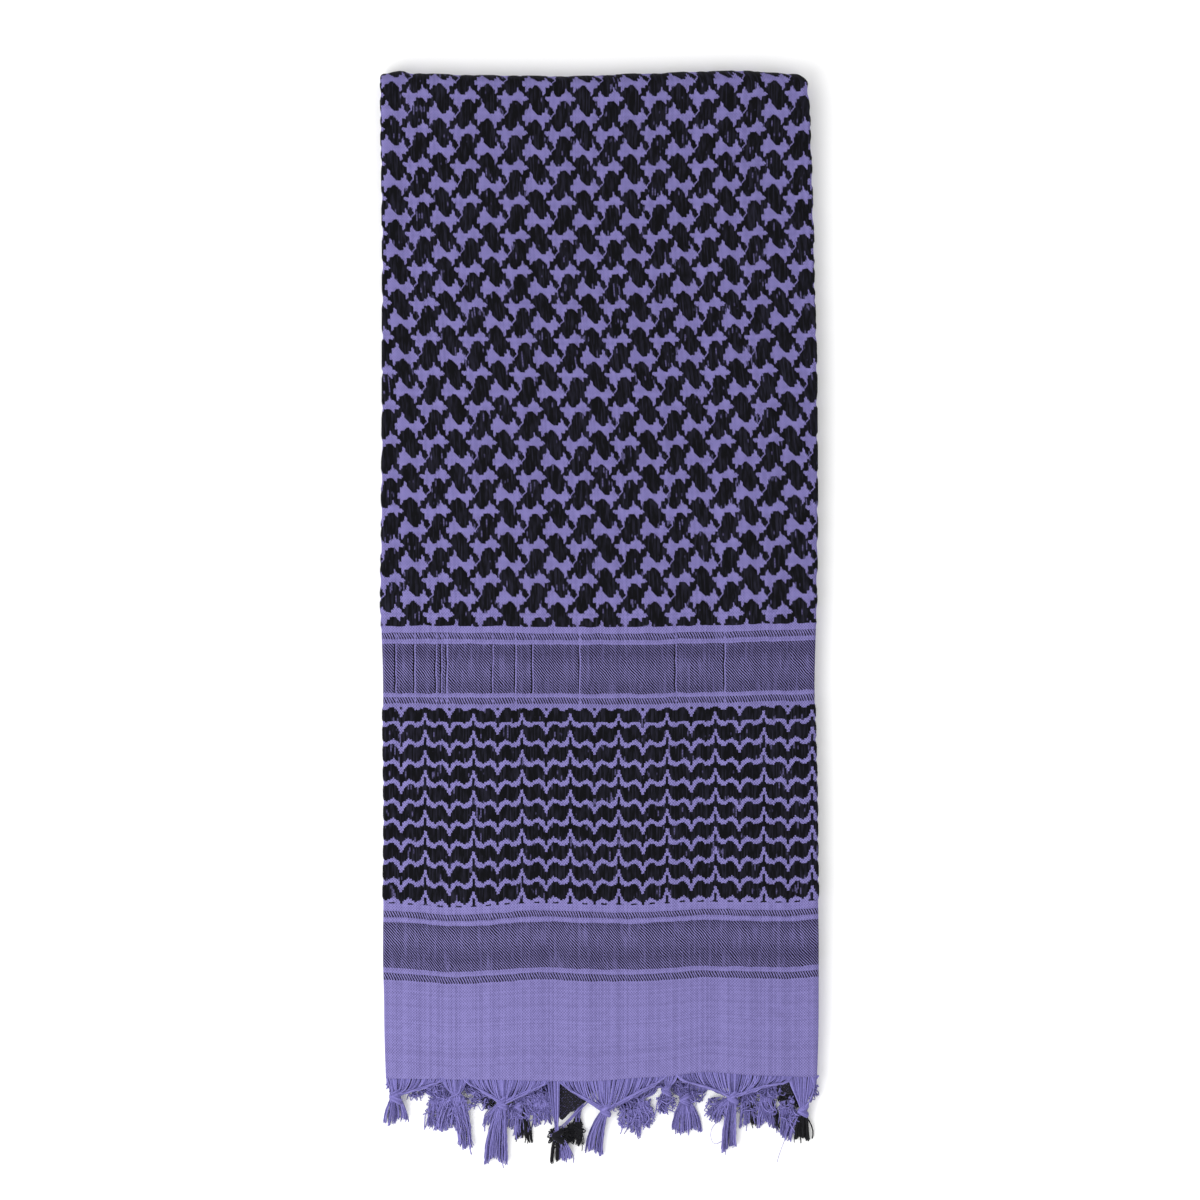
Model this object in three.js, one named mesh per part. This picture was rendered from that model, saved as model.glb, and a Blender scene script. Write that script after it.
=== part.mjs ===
// A keffiyeh: one square of cotton with knotted warp fringes, folded into a flat oblong
// and laid down. Millimetres, +Z up, the top fold towards +Y and the fringed hems towards -Y.
// The square is pleated into panels side by side, then doubled over its top fold, so the
// outermost layer runs from the front hem, over the fold, and back under the pile.
import * as THREE from 'three';

// ---------------------------------------------------------------- driving dimensions
const CLOTH_SIDE = 1067;        // the woven square, a 42 inch keffiyeh
const FRONT_HEM_Y = -240;       // where the outermost layer's front hem lies
const FRINGE_END_Y = -287;      // where the longest tassel ends
const TOP_FOLD_Y = 287;         // outside of the top fold
const PILE_HEIGHT = 14;         // height of the pile at its springy top fold
const WALL = 1.3;               // one layer of cloth, its raised floats included
const GAP = 0.3;                // air kept between two pieces that touch
const CURL_RADIUS = 2.2;        // outside radius of a layer turned over at the side
const CURL_DEGREES = 110;       // how far the outermost layer turns over at the side
const CROWN = 1.6;              // how much lower the front lies along its sides
const CORNER_INSET = 4.2;       // how far the side folds draw in over the top fold

const FOLD_RADIUS = PILE_HEIGHT / 2;
const FOLD_CENTRE_Y = TOP_FOLD_Y - FOLD_RADIUS;
const JOIN_Y = FOLD_CENTRE_Y - 8;               // where front and back panels meet below
const FRONT_LENGTH = FOLD_CENTRE_Y - FRONT_HEM_Y;
const BACK_LENGTH = CLOTH_SIDE - FRONT_LENGTH - Math.PI * FOLD_RADIUS;
const BACK_HEM_Y = FOLD_CENTRE_Y - BACK_LENGTH;

// ---------------------------------------------------------------- short tables
// Plan of the pile, row by row from the fold to the hem: its side folds' places in x.
const SIDES = [
  { y: 287, left: -113.6, right: 108.6 },
  { y: 256, left: -114.0, right: 110.6 },
  { y: 214, left: -114.6, right: 112.2 },
  { y: 131, left: -113.4, right: 113.6 },
  { y: 47, left: -114.6, right: 114.6 },
  { y: -36, left: -113.2, right: 113.0 },
  { y: -120, left: -113.6, right: 114.6 },
  { y: -203, left: -112.6, right: 114.6 },
  { y: -287, left: -111.0, right: 113.4 },
];

// Height of the pile's front face along its middle line.
const HEIGHTS = [
  { y: -287, z: 9.4 },
  { y: -236, z: 10.0 },
  { y: -205, z: 11.6 },
  { y: -110, z: 12.4 },
  { y: 20, z: 12.7 },
  { y: 150, z: 12.9 },
  { y: 235, z: 13.5 },
  { y: 280, z: PILE_HEIGHT },
];

// The hems wave a little: how far each lies from its straight line.
const FRONT_HEM_WAVE = [
  { x: -115, dy: 0.6 },
  { x: -60, dy: 0.0 },
  { x: -10, dy: -0.8 },
  { x: 30, dy: 1.4 },
  { x: 56, dy: 4.0 },
  { x: 85, dy: 2.2 },
  { x: 115, dy: 1.2 },
];

// The next layer's hem, reverse side up, as far as it reaches past the front hem.
const SECOND_HEM_REACH = [
  { x: -112, y: -243 },
  { x: -60, y: -246 },
  { x: -23, y: -248 },
  { x: -15, y: -262 },
  { x: -6, y: -248 },
  { x: 30, y: -244 },
  { x: 60, y: -242 },
  { x: 96, y: -248 },
  { x: 114, y: -248 },
];

// Tassels of the front hem: where each leaves the hem, its knot, and its tail's end.
const FRONT_TASSELS = [
  { hemX: -101, knotX: -104.5, knotY: -250, tailX: -107, tailY: -265, tailWidth: 13 },
  { hemX: -73, knotX: -70, knotY: -254, tailX: -72, tailY: -277, tailWidth: 9 },
  { hemX: -51, knotX: -51, knotY: -252.5, tailX: -54.5, tailY: -285.5, tailWidth: 13 },
  { hemX: -29, knotX: -22, knotY: -270, tailX: -22.5, tailY: FRINGE_END_Y, tailWidth: 7 },
  { hemX: 5, knotX: 3.8, knotY: -255, tailX: -1.5, tailY: -280.5, tailWidth: 8 },
  { hemX: 34, knotX: 35, knotY: -246.5, tailX: 33, tailY: -260.5, tailWidth: 8 },
  { hemX: 67, knotX: 67, knotY: -250.5, tailX: 67, tailY: -277.5, tailWidth: 8 },
  { hemX: 105, knotX: 106.7, knotY: -257, tailX: 105.2, tailY: -273.5, tailWidth: 9 },
];

// Tassels of the back hem, lying between and below those of the front.
const BACK_TASSELS = [
  { hemX: -83, knotX: -83, knotY: -254, tailX: -82.5, tailY: -269, tailWidth: 17 },
  { hemX: -45, knotX: -44, knotY: -256, tailX: -42, tailY: -274.5, tailWidth: 13 },
  { hemX: -30, knotX: -30, knotY: -256, tailX: -30, tailY: -269.5, tailWidth: 10 },
  { hemX: -11, knotX: -12, knotY: -259, tailX: -12, tailY: -273.5, tailWidth: 8 },
  { hemX: 19, knotX: 20, knotY: -255, tailX: 20, tailY: -271, tailWidth: 19 },
  { hemX: 46, knotX: 46, knotY: -252, tailX: 46, tailY: -271, tailWidth: 18 },
  { hemX: 74, knotX: 75.5, knotY: -254, tailX: 76, tailY: -266.5, tailWidth: 9 },
  { hemX: 87, knotX: 87, knotY: -254, tailX: 87, tailY: -267.5, tailWidth: 12 },
  { hemX: 100, knotX: 100.5, knotY: -257, tailX: 100.5, tailY: -275, tailWidth: 7 },
];

// ---------------------------------------------------------------- reading the tables
const smooth = (t) => t * t * (3 - 2 * t);

// The value of one column at a place along another, eased between the rows.
function readTable(rows, placeName, place, valueName) {
  const rising = rows[rows.length - 1][placeName] > rows[0][placeName];
  const sorted = rising ? rows : [...rows].reverse();
  const first = sorted[0];
  const last = sorted[sorted.length - 1];
  if (place <= first[placeName]) return first[valueName];
  if (place >= last[placeName]) return last[valueName];
  const k = sorted.findIndex((row) => row[placeName] > place);
  const low = sorted[k - 1];
  const high = sorted[k];
  const t = (place - low[placeName]) / (high[placeName] - low[placeName]);
  return low[valueName] + (high[valueName] - low[valueName]) * smooth(t);
}

const leftAt = (y) => readTable(SIDES, 'y', y, 'left');
const rightAt = (y) => readTable(SIDES, 'y', y, 'right');
const heightAt = (y) => readTable(HEIGHTS, 'y', y, 'z');
const frontHemAt = (x) => FRONT_HEM_Y + readTable(FRONT_HEM_WAVE, 'x', x, 'dy');
const secondHemAt = (x) => readTable(SECOND_HEM_REACH, 'x', x, 'y');

// How far the front face has dropped from its middle line, at a share s (-1 to 1) of its width.
const crownAt = (s) => CROWN * s * s;

// ---------------------------------------------------------------- closed meshes
// Makes a closed body from shared points and triangles, and turns it outwards.
function closedBody(points, triangles) {
  let volume = 0;
  for (const [a, b, c] of triangles) {
    volume += points[a].dot(new THREE.Vector3().crossVectors(points[b], points[c]));
  }
  const index = volume > 0 ? triangles.flat() : triangles.map(([a, b, c]) => [a, c, b]).flat();
  const geometry = new THREE.BufferGeometry().setFromPoints(points);
  geometry.setIndex(index);
  geometry.computeVertexNormals();
  return geometry;
}

// A wall of cloth: a grid of points on its outer face, thickened inwards along the normals.
function wallFromGrid(grid, thickness) {
  const rows = grid.length;
  const columns = grid[0].length;
  const outer = grid.flat();
  const inner = [];
  for (let r = 0; r < rows; r += 1) {
    for (let c = 0; c < columns; c += 1) {
      const along = new THREE.Vector3().subVectors(
        grid[Math.min(r + 1, rows - 1)][c], grid[Math.max(r - 1, 0)][c]);
      const across = new THREE.Vector3().subVectors(
        grid[r][Math.min(c + 1, columns - 1)], grid[r][Math.max(c - 1, 0)]);
      const inward = along.cross(across).normalize();
      inner.push(grid[r][c].clone().addScaledVector(inward, thickness));
    }
  }
  const at = (r, c) => r * columns + c;
  const under = (r, c) => rows * columns + at(r, c);
  const triangles = [];
  const quad = (a, b, c, d) => triangles.push([a, b, c], [a, c, d]);
  for (let r = 0; r + 1 < rows; r += 1) {
    for (let c = 0; c + 1 < columns; c += 1) {
      quad(at(r, c), at(r, c + 1), at(r + 1, c + 1), at(r + 1, c));
      quad(under(r, c), under(r + 1, c), under(r + 1, c + 1), under(r, c + 1));
    }
    quad(at(r + 1, 0), under(r + 1, 0), under(r, 0), at(r, 0));
    quad(at(r, columns - 1), under(r, columns - 1), under(r + 1, columns - 1), at(r + 1, columns - 1));
  }
  for (let c = 0; c + 1 < columns; c += 1) {
    quad(at(0, c), under(0, c), under(0, c + 1), at(0, c + 1));
    quad(at(rows - 1, c + 1), under(rows - 1, c + 1), under(rows - 1, c), at(rows - 1, c));
  }
  return closedBody([...outer, ...inner], triangles);
}

// A solid lofted through rings of equal count, closed by a fan at each end.
function loftRings(rings) {
  const count = rings[0].length;
  const points = rings.flat();
  const triangles = [];
  for (let r = 0; r + 1 < rings.length; r += 1) {
    for (let k = 0; k < count; k += 1) {
      const next = (k + 1) % count;
      const a = r * count + k;
      const b = r * count + next;
      triangles.push([a, b, b + count], [a, b + count, a + count]);
    }
  }
  const cap = (ring, firstIndex, turned) => {
    const centre = ring.reduce((sum, p) => sum.add(p), new THREE.Vector3()).divideScalar(count);
    points.push(centre);
    for (let k = 0; k < count; k += 1) {
      const a = firstIndex + k;
      const b = firstIndex + ((k + 1) % count);
      triangles.push(turned ? [b, a, points.length - 1] : [a, b, points.length - 1]);
    }
  };
  cap(rings[0], 0, true);
  cap(rings[rings.length - 1], (rings.length - 1) * count, false);
  return closedBody(points, triangles);
}

function makeNode(name, geometry, color, roughness) {
  const material = new THREE.MeshStandardMaterial({ color, roughness, metalness: 0 });
  const mesh = new THREE.Mesh(geometry, material);
  mesh.name = name;
  return mesh;
}

const FACE_LILAC = 0x8d84bd;
const REVERSE_BLACK = 0x24222a;
const FRINGE_LILAC = 0x8179b2;
const COTTON_ROUGHNESS = 0.9;

// ---------------------------------------------------------------- the outermost layer
// Its section: flat across, then turned over by an arc at each side.
// x is a place across, and depth is how far it lies inwards from the flat.
const FLAT_STEPS = 10;
const CURL_STEPS = 4;

function outerSection(left, right) {
  const section = [];
  const arc = THREE.MathUtils.degToRad(CURL_DEGREES);
  const flatLeft = left + CURL_RADIUS;
  const flatRight = right - CURL_RADIUS;
  for (let k = CURL_STEPS; k > 0; k -= 1) {
    const angle = (arc * k) / CURL_STEPS;
    section.push({
      x: flatLeft - CURL_RADIUS * Math.sin(angle),
      depth: CURL_RADIUS * (1 - Math.cos(angle)),
    });
  }
  for (let k = 0; k <= FLAT_STEPS; k += 1) {
    section.push({ x: flatLeft + ((flatRight - flatLeft) * k) / FLAT_STEPS, depth: 0 });
  }
  for (let k = 1; k <= CURL_STEPS; k += 1) {
    const angle = (arc * k) / CURL_STEPS;
    section.push({
      x: flatRight + CURL_RADIUS * Math.sin(angle),
      depth: CURL_RADIUS * (1 - Math.cos(angle)),
    });
  }
  return section;
}

// One row of the outermost layer. inY and inZ point into the pile, and crownShare says how
// much of the front's crown the row has.
function outerRow({ y, z, inY, inZ, inset, crownShare, hemAt }) {
  const left = leftAt(y) + inset;
  const right = rightAt(y) - inset;
  const middle = (left + right) / 2;
  const half = (right - left) / 2;
  return outerSection(left, right).map(({ x, depth }) => {
    const sunk = depth + crownShare * crownAt((x - middle) / half);
    const rowY = hemAt ? hemAt(x, y) : y;
    return new THREE.Vector3(x, rowY + inY * sunk, z + inZ * sunk);
  });
}

const TOP_ROWS = 24;
const FOLD_STEPS = 8;
const BACK_ROWS = 14;

function frontPanel() {
  const rows = [];
  for (let k = 0; k <= TOP_ROWS; k += 1) {
    const y = FRONT_HEM_Y + (FRONT_LENGTH * k) / TOP_ROWS;
    const hemShare = Math.max(0, 1 - k / 3);
    rows.push(outerRow({
      y,
      z: heightAt(y),
      inY: 0,
      inZ: -1,
      inset: 0,
      crownShare: smooth(Math.min(1, (FOLD_CENTRE_Y - y) / 60)),
      hemAt: (x, rowY) => rowY + hemShare * (frontHemAt(x) - FRONT_HEM_Y),
    }));
  }
  for (let k = 1; k <= FOLD_STEPS; k += 1) {
    const angle = (Math.PI * k) / FOLD_STEPS;
    rows.push(outerRow({
      y: FOLD_CENTRE_Y + FOLD_RADIUS * Math.sin(angle),
      z: FOLD_RADIUS + FOLD_RADIUS * Math.cos(angle),
      inY: -Math.sin(angle),
      inZ: -Math.cos(angle),
      inset: CORNER_INSET * Math.sin(angle) ** 2,
      crownShare: 0,
    }));
  }
  rows.push(outerRow({ y: JOIN_Y + GAP, z: 0, inY: 0, inZ: 1, inset: 0, crownShare: 0 }));
  return makeNode('front_panel', wallFromGrid(rows, WALL), FACE_LILAC, COTTON_ROUGHNESS);
}

function backPanel() {
  const rows = [];
  for (let k = 0; k <= BACK_ROWS; k += 1) {
    const y = JOIN_Y + ((BACK_HEM_Y - JOIN_Y) * k) / BACK_ROWS;
    rows.push(outerRow({ y, z: 0, inY: 0, inZ: 1, inset: 0, crownShare: 0 }));
  }
  return makeNode('back_panel', wallFromGrid(rows, WALL), FACE_LILAC, COTTON_ROUGHNESS);
}

// ---------------------------------------------------------------- the next layer's hem
const SECOND_START_Y = -206;
const SECOND_COLUMNS = 24;
const SECOND_ROWS = 7;
const SECOND_LIFT = 3.8;        // height of its top face where it ends, on the fringe below
const SECOND_INSET = 4;         // it ends short of the side folds
const SECOND_BEND_Y = -238;     // where it starts to fall, at the front hem

function secondHem() {
  const grid = [];
  for (let r = 0; r <= SECOND_ROWS; r += 1) {
    const row = [];
    for (let c = 0; c <= SECOND_COLUMNS; c += 1) {
      const left = leftAt(SECOND_START_Y) + SECOND_INSET;
      const right = rightAt(SECOND_START_Y) - SECOND_INSET;
      const x = left + ((right - left) * c) / SECOND_COLUMNS;
      const s = (2 * c) / SECOND_COLUMNS - 1;
      const end = secondHemAt(x);
      const t = Math.max(0, (r - 2) / (SECOND_ROWS - 2));
      const y = r < 2
        ? SECOND_START_Y + ((SECOND_BEND_Y - SECOND_START_Y) * r) / 2
        : SECOND_BEND_Y + (end - SECOND_BEND_Y) * t;
      const covered = heightAt(Math.max(y, SECOND_BEND_Y)) - crownAt(s) - WALL - GAP;
      row.push(new THREE.Vector3(x, y, covered + (SECOND_LIFT - covered) * smooth(t)));
    }
    grid.push(row);
  }
  return makeNode('second_hem', wallFromGrid(grid.reverse(), WALL), REVERSE_BLACK, COTTON_ROUGHNESS);
}

// ---------------------------------------------------------------- the hidden layers
// One rounded solid between the front and back panels. Its sides are grooved: a round edge
// for each fold of the hidden layers.
const LAYER_INSET = 3.2;        // clear of the outermost layer's turned-over sides
const LAYER_STEP = 1.9;         // height beside a turned-over side before the first round edge
const EDGE_FOLDS = 2;
const EDGE_POINTS = [
  { out: 0.2, up: 0.04 },
  { out: 2.2, up: 0.2 },
  { out: 2.9, up: 0.5 },
  { out: 2.2, up: 0.8 },
  { out: 0.2, up: 0.96 },
];
const LAYER_TOP_STEPS = 8;
const HIDDEN_END_Y = -238;

function hiddenSection({ y, low, high, drop, edgeShare, inset, topStep }) {
  const left = leftAt(y) + inset + LAYER_INSET;
  const right = rightAt(y) - inset - LAYER_INSET;
  const middle = (left + right) / 2;
  const half = (right - left) / 2;
  const topAt = (s) => high - drop * s * s;
  const edgeTop = topAt(1);
  const lowStep = Math.min(LAYER_STEP, (edgeTop - low) * 0.5);
  const sideOf = (sign) => {
    const side = [];
    const span = (edgeTop - low - lowStep - topStep) / EDGE_FOLDS;
    for (let fold = 0; fold < EDGE_FOLDS; fold += 1) {
      for (const { out, up } of EDGE_POINTS) {
        side.push(new THREE.Vector3(
          middle + sign * (half + out * edgeShare), y, low + lowStep + span * (fold + up)));
      }
    }
    return side;
  };
  const ring = [new THREE.Vector3(left, y, low), new THREE.Vector3(right, y, low), ...sideOf(1)];
  for (let k = 0; k <= LAYER_TOP_STEPS; k += 1) {
    const s = 1 - (2 * k) / LAYER_TOP_STEPS;
    ring.push(new THREE.Vector3(middle + half * s, y, topAt(s)));
  }
  return [...ring, ...sideOf(-1).reverse()];
}

const HIDDEN_ROWS = 20;
const NESTED_STEPS = 3;

function foldedLayers() {
  const rings = [];
  const low = WALL + GAP;
  const startY = SECOND_START_Y + 3;
  const hiddenTop = (y) => heightAt(y) - WALL - GAP - 0.1;
  const undercut = WALL + GAP;
  const hemStations = [
    { y: HIDDEN_END_Y, high: 5.0, drop: 0.6, edgeShare: 0 },
    { y: HIDDEN_END_Y + 3, high: 6.0, drop: 0.8, edgeShare: 0 },
    { y: HIDDEN_END_Y + 12, high: hiddenTop(HIDDEN_END_Y + 12) - undercut, drop: CROWN, edgeShare: 1 },
    { y: SECOND_START_Y + 0.6, high: hiddenTop(SECOND_START_Y) - undercut, drop: CROWN, edgeShare: 1 },
  ];
  for (const station of hemStations) {
    rings.push(hiddenSection({ ...station, low, inset: 0, topStep: 0.2 }));
  }
  for (let k = 0; k <= HIDDEN_ROWS; k += 1) {
    const y = startY + ((FOLD_CENTRE_Y - startY) * k) / HIDDEN_ROWS;
    const toFold = Math.min(1, (FOLD_CENTRE_Y - y) / 60);
    rings.push(hiddenSection({
      y,
      low,
      high: hiddenTop(y),
      drop: CROWN * smooth(toFold),
      edgeShare: Math.min(1, toFold * 4),
      inset: 0,
      topStep: LAYER_STEP,
    }));
  }
  const nested = FOLD_RADIUS - WALL - 2 * GAP;
  for (let k = 1; k <= NESTED_STEPS; k += 1) {
    const angle = (Math.PI / 2) * (k / (NESTED_STEPS + 1));
    const y = FOLD_CENTRE_Y + nested * Math.sin(angle);
    rings.push(hiddenSection({
      y,
      low: FOLD_RADIUS - nested * Math.cos(angle),
      high: FOLD_RADIUS + nested * Math.cos(angle),
      drop: 0,
      edgeShare: 0,
      inset: CORNER_INSET,
      topStep: 0.2,
    }));
  }
  return makeNode('folded_layers', loftRings(rings), FACE_LILAC, COTTON_ROUGHNESS);
}

// ---------------------------------------------------------------- the fringe
// A tassel's plain solid: a fan of warp ends that leaves the hem, draws into a knot and opens
// into a tail. The front row lies on the back row.
const RING_SIDES = 8;
const FAN_HALF = 6.5;           // half the width of hem that one tassel's solid gathers
const KNOT_HALF = 3.1;          // half a knot's width
const NECK_HALF = 3.4;          // half the width just past the knot
const END_THICKNESS = 0.6;      // half the height of the warp ends where they leave the hem

function ellipseRing(centre, halfWidth, halfHeight) {
  const ring = [];
  for (let k = 0; k < RING_SIDES; k += 1) {
    const angle = (2 * Math.PI * (k + 0.5)) / RING_SIDES;
    ring.push(new THREE.Vector3(
      centre.x + halfWidth * Math.cos(angle), centre.y, centre.z + halfHeight * Math.sin(angle)));
  }
  return ring;
}

function tassel(name, row, hem, lie) {
  const { knotX, knotY, tailX, tailY, tailWidth } = row;
  const start = new THREE.Vector3(row.hemX, hem.y - GAP, hem.z);
  const knot = new THREE.Vector3(knotX, knotY, lie.knotZ);
  const end = new THREE.Vector3(tailX, tailY, lie.tailZ);
  const fan = start.clone().lerp(knot, 0.5);
  fan.z = Math.max(fan.z, lie.knotZ + 0.4);
  const neck = knot.clone().lerp(end, 0.3);
  neck.z = lie.tailZ;
  const rings = [
    ellipseRing(start, FAN_HALF, END_THICKNESS),
    ellipseRing(fan, (FAN_HALF + KNOT_HALF) / 2, END_THICKNESS * 1.5),
    ellipseRing(knot, KNOT_HALF, lie.knotHalf),
    ellipseRing(neck, Math.min(NECK_HALF, tailWidth / 2), lie.tailHalf),
    ellipseRing(end, tailWidth / 2, lie.tailHalf * 0.8),
  ];
  return makeNode(name, loftRings(rings), FRINGE_LILAC, COTTON_ROUGHNESS);
}

// How high each row lies, and half the height of its knots and tails.
const FRONT_LIE = { knotZ: 5.2, knotHalf: 2.1, tailZ: 3.9, tailHalf: 1.1 };
const BACK_LIE = { knotZ: 1.35, knotHalf: 1.0, tailZ: 1.2, tailHalf: 0.9 };

function fringe() {
  const tassels = [];
  FRONT_TASSELS.forEach((row, k) => {
    const hemY = Math.min(frontHemAt(row.hemX - FAN_HALF), frontHemAt(row.hemX + FAN_HALF));
    const s = ((row.hemX - leftAt(hemY)) / (rightAt(hemY) - leftAt(hemY))) * 2 - 1;
    const hemZ = heightAt(FRONT_HEM_Y) - crownAt(s) - WALL / 2;
    tassels.push(tassel(`tassel_front_${k + 1}`, row, { y: hemY, z: hemZ }, FRONT_LIE));
  });
  BACK_TASSELS.forEach((row, k) => {
    const hem = { y: BACK_HEM_Y, z: WALL / 2 + 0.1 };
    tassels.push(tassel(`tassel_back_${k + 1}`, row, hem, BACK_LIE));
  });
  return tassels;
}

// ---------------------------------------------------------------- the whole part
const group = new THREE.Group();
group.name = 'keffiyeh';
group.add(frontPanel(), backPanel(), secondHem(), foldedLayers(), ...fringe());

// Stands it on the middle of its own base.
const bounds = new THREE.Box3().setFromObject(group);
const centre = bounds.getCenter(new THREE.Vector3());
group.position.set(-centre.x, -centre.y, -bounds.min.z);
group.updateMatrixWorld(true);

export default group;
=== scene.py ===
# %% [markdown]
# # A folded keffiyeh
# A keffiyeh is one square of cotton. Lilac warp and weft make a plain ground, and a black
# supplementary yarn floats over it in a net, a band of leaves and two checked bands. Its warp
# ends are knotted into tassels. Here it is pleated into an oblong, doubled over its top fold
# and laid on a table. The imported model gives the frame: every piece below goes where it says.

# %% The frame
import math
import random

import bmesh
import bpy
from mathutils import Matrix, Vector, noise


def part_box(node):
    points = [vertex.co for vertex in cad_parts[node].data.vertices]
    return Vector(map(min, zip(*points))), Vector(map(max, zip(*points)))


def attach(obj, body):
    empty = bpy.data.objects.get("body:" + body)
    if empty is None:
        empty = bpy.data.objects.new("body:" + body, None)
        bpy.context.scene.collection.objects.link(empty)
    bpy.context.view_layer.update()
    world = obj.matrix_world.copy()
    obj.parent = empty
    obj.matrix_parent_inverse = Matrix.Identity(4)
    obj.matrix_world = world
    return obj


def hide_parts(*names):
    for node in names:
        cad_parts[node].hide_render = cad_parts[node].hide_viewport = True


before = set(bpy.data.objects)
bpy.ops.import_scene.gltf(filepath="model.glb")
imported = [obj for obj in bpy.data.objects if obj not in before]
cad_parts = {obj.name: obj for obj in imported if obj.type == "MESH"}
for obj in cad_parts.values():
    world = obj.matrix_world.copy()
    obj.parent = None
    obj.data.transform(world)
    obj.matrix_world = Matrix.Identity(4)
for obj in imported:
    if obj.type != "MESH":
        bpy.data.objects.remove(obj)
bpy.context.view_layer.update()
MM = 0.001
front_low, front_high = (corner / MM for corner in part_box("front_panel"))
back_low, back_high = (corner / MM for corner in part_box("back_panel"))
print("front panel, mm:", [round(v, 1) for v in (*front_low, *front_high)])

# %% [markdown]
# The pile's outline is a little uneven, as hand-folded cloth is. Short tables say how far its
# side folds lie in from the widest place, how high it is along its middle, and how its hem
# waves. One function reads any of them, easing from row to row, so nothing has a corner.

# %% The pile's form
SIDE_INSETS = [
    dict(y=-287, left=4.1, right=1.9),
    dict(y=-203, left=2.0, right=0.0),
    dict(y=-175, left=1.4, right=0.0),
    dict(y=-105, left=2.1, right=0.9),
    dict(y=-36, left=1.5, right=2.2),
    dict(y=10, left=0.4, right=1.3),
    dict(y=55, left=0.9, right=1.0),
    dict(y=125, left=1.4, right=1.3),
    dict(y=190, left=1.5, right=2.8),
    dict(y=230, left=1.1, right=3.8),
    dict(y=256, left=0.7, right=4.8),
    dict(y=287, left=0.5, right=6.6),
]
HEIGHTS = [
    dict(y=-287, z=9.4),
    dict(y=-236, z=10.0),
    dict(y=-205, z=11.6),
    dict(y=-110, z=12.4),
    dict(y=20, z=12.7),
    dict(y=150, z=12.9),
    dict(y=235, z=13.5),
    dict(y=280, z=14.0),
]
HEM_WAVE = [
    dict(x=-115, dy=0.6),
    dict(x=-60, dy=0.0),
    dict(x=-10, dy=-0.8),
    dict(x=30, dy=1.4),
    dict(x=56, dy=4.0),
    dict(x=85, dy=2.2),
    dict(x=115, dy=1.2),
]
CROWN = 1.6              # how much lower the face lies along its sides
CORNER_INSETS = dict(left=0.2, right=4.0)      # how far the sides draw in over the top fold
TOP_WAVE = [
    dict(x=-113, dy=-1.6),
    dict(x=-104, dy=-0.1),
    dict(x=-97, dy=-1.3),
    dict(x=-60, dy=-2.2),
    dict(x=-15, dy=-2.7),
    dict(x=30, dy=-1.2),
    dict(x=56, dy=-0.2),
    dict(x=78, dy=0.2),
    dict(x=93, dy=-0.9),
    dict(x=113, dy=-2.0),
]
HEM_Y = front_low.y + 0.7                      # mean line of the waving hem
FOLD_RADIUS = front_high.z / 2
FOLD_Y = front_high.y - FOLD_RADIUS
JOIN_Y = back_high.y
BACK_HEM_Y = back_low.y


def smooth(t):
    """Eases from 0 to 1 as t goes from 0 to 1."""
    t = min(1.0, max(0.0, t))
    return t * t * (3 - 2 * t)


def eased(rows, place_name, place, value_name):
    """One column of a table at a place along another, eased between its rows."""
    if place <= rows[0][place_name]:
        return rows[0][value_name]
    for low, high in zip(rows, rows[1:]):
        if place <= high[place_name]:
            share = smooth((place - low[place_name]) / (high[place_name] - low[place_name]))
            return low[value_name] + (high[value_name] - low[value_name]) * share
    return rows[-1][value_name]


def left_at(y):
    return front_low.x + eased(SIDE_INSETS, "y", y, "left")


def right_at(y):
    return front_high.x - eased(SIDE_INSETS, "y", y, "right")


def hem_at(x):
    return HEM_Y + eased(HEM_WAVE, "x", x, "dy")


print("hem to fold, mm:", round(FOLD_Y - HEM_Y, 1))

# %% [markdown]
# Pressed folds, the pull of the knots and handling leave a few soft creases. Each is a shallow
# trough with its own place, direction, length, width and depth, chosen one by one, because
# evenly spaced creases look like corrugated card. A slow noise adds the lie of limp cotton.

# %% Creases
CREASES = [
    dict(x=93, y=-204, turn=-16, length=24, width=3.0, depth=0.9),
    dict(x=62, y=-226, turn=24, length=30, width=5.0, depth=0.5),
    dict(x=-84, y=-228, turn=-12, length=34, width=5.0, depth=0.5),
    dict(x=-20, y=-214, turn=8, length=40, width=7.0, depth=0.4),
    dict(x=12, y=-168, turn=84, length=60, width=8.0, depth=0.35),
    dict(x=-62, y=-60, turn=76, length=110, width=9.0, depth=0.4),
    dict(x=57, y=36, turn=95, length=150, width=10.0, depth=0.45),
    dict(x=-14, y=132, turn=82, length=90, width=8.0, depth=0.35),
    dict(x=-86, y=214, turn=30, length=46, width=7.0, depth=0.5),
    dict(x=84, y=238, turn=-34, length=50, width=7.0, depth=0.5),
    dict(x=96, y=120, turn=70, length=56, width=6.0, depth=0.4),
    dict(x=-100, y=62, turn=104, length=48, width=6.0, depth=0.4),
]


def crease_depth(x, y):
    """How far the creases lower the face at a place."""
    depth = 0.0
    for crease in CREASES:
        turn = math.radians(crease["turn"])
        dx, dy = x - crease["x"], y - crease["y"]
        along = (dx * math.cos(turn) + dy * math.sin(turn)) / (crease["length"] / 2)
        across = (dy * math.cos(turn) - dx * math.sin(turn)) / (crease["width"] / 2)
        if abs(along) < 1 and abs(across) < 3:
            depth += crease["depth"] * (1 - along * along) ** 2 * math.exp(-across * across)
    return depth


def lie_of_cloth(x, y):
    """Slow rise and fall of limp cotton on uneven layers."""
    broad = noise.noise(Vector((x / 46, y / 60, 3.1)))
    fine = noise.noise(Vector((x / 15, y / 22, 8.7)))
    return 0.42 * broad + 0.16 * fine


print("creases:", len(CREASES))

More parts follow.
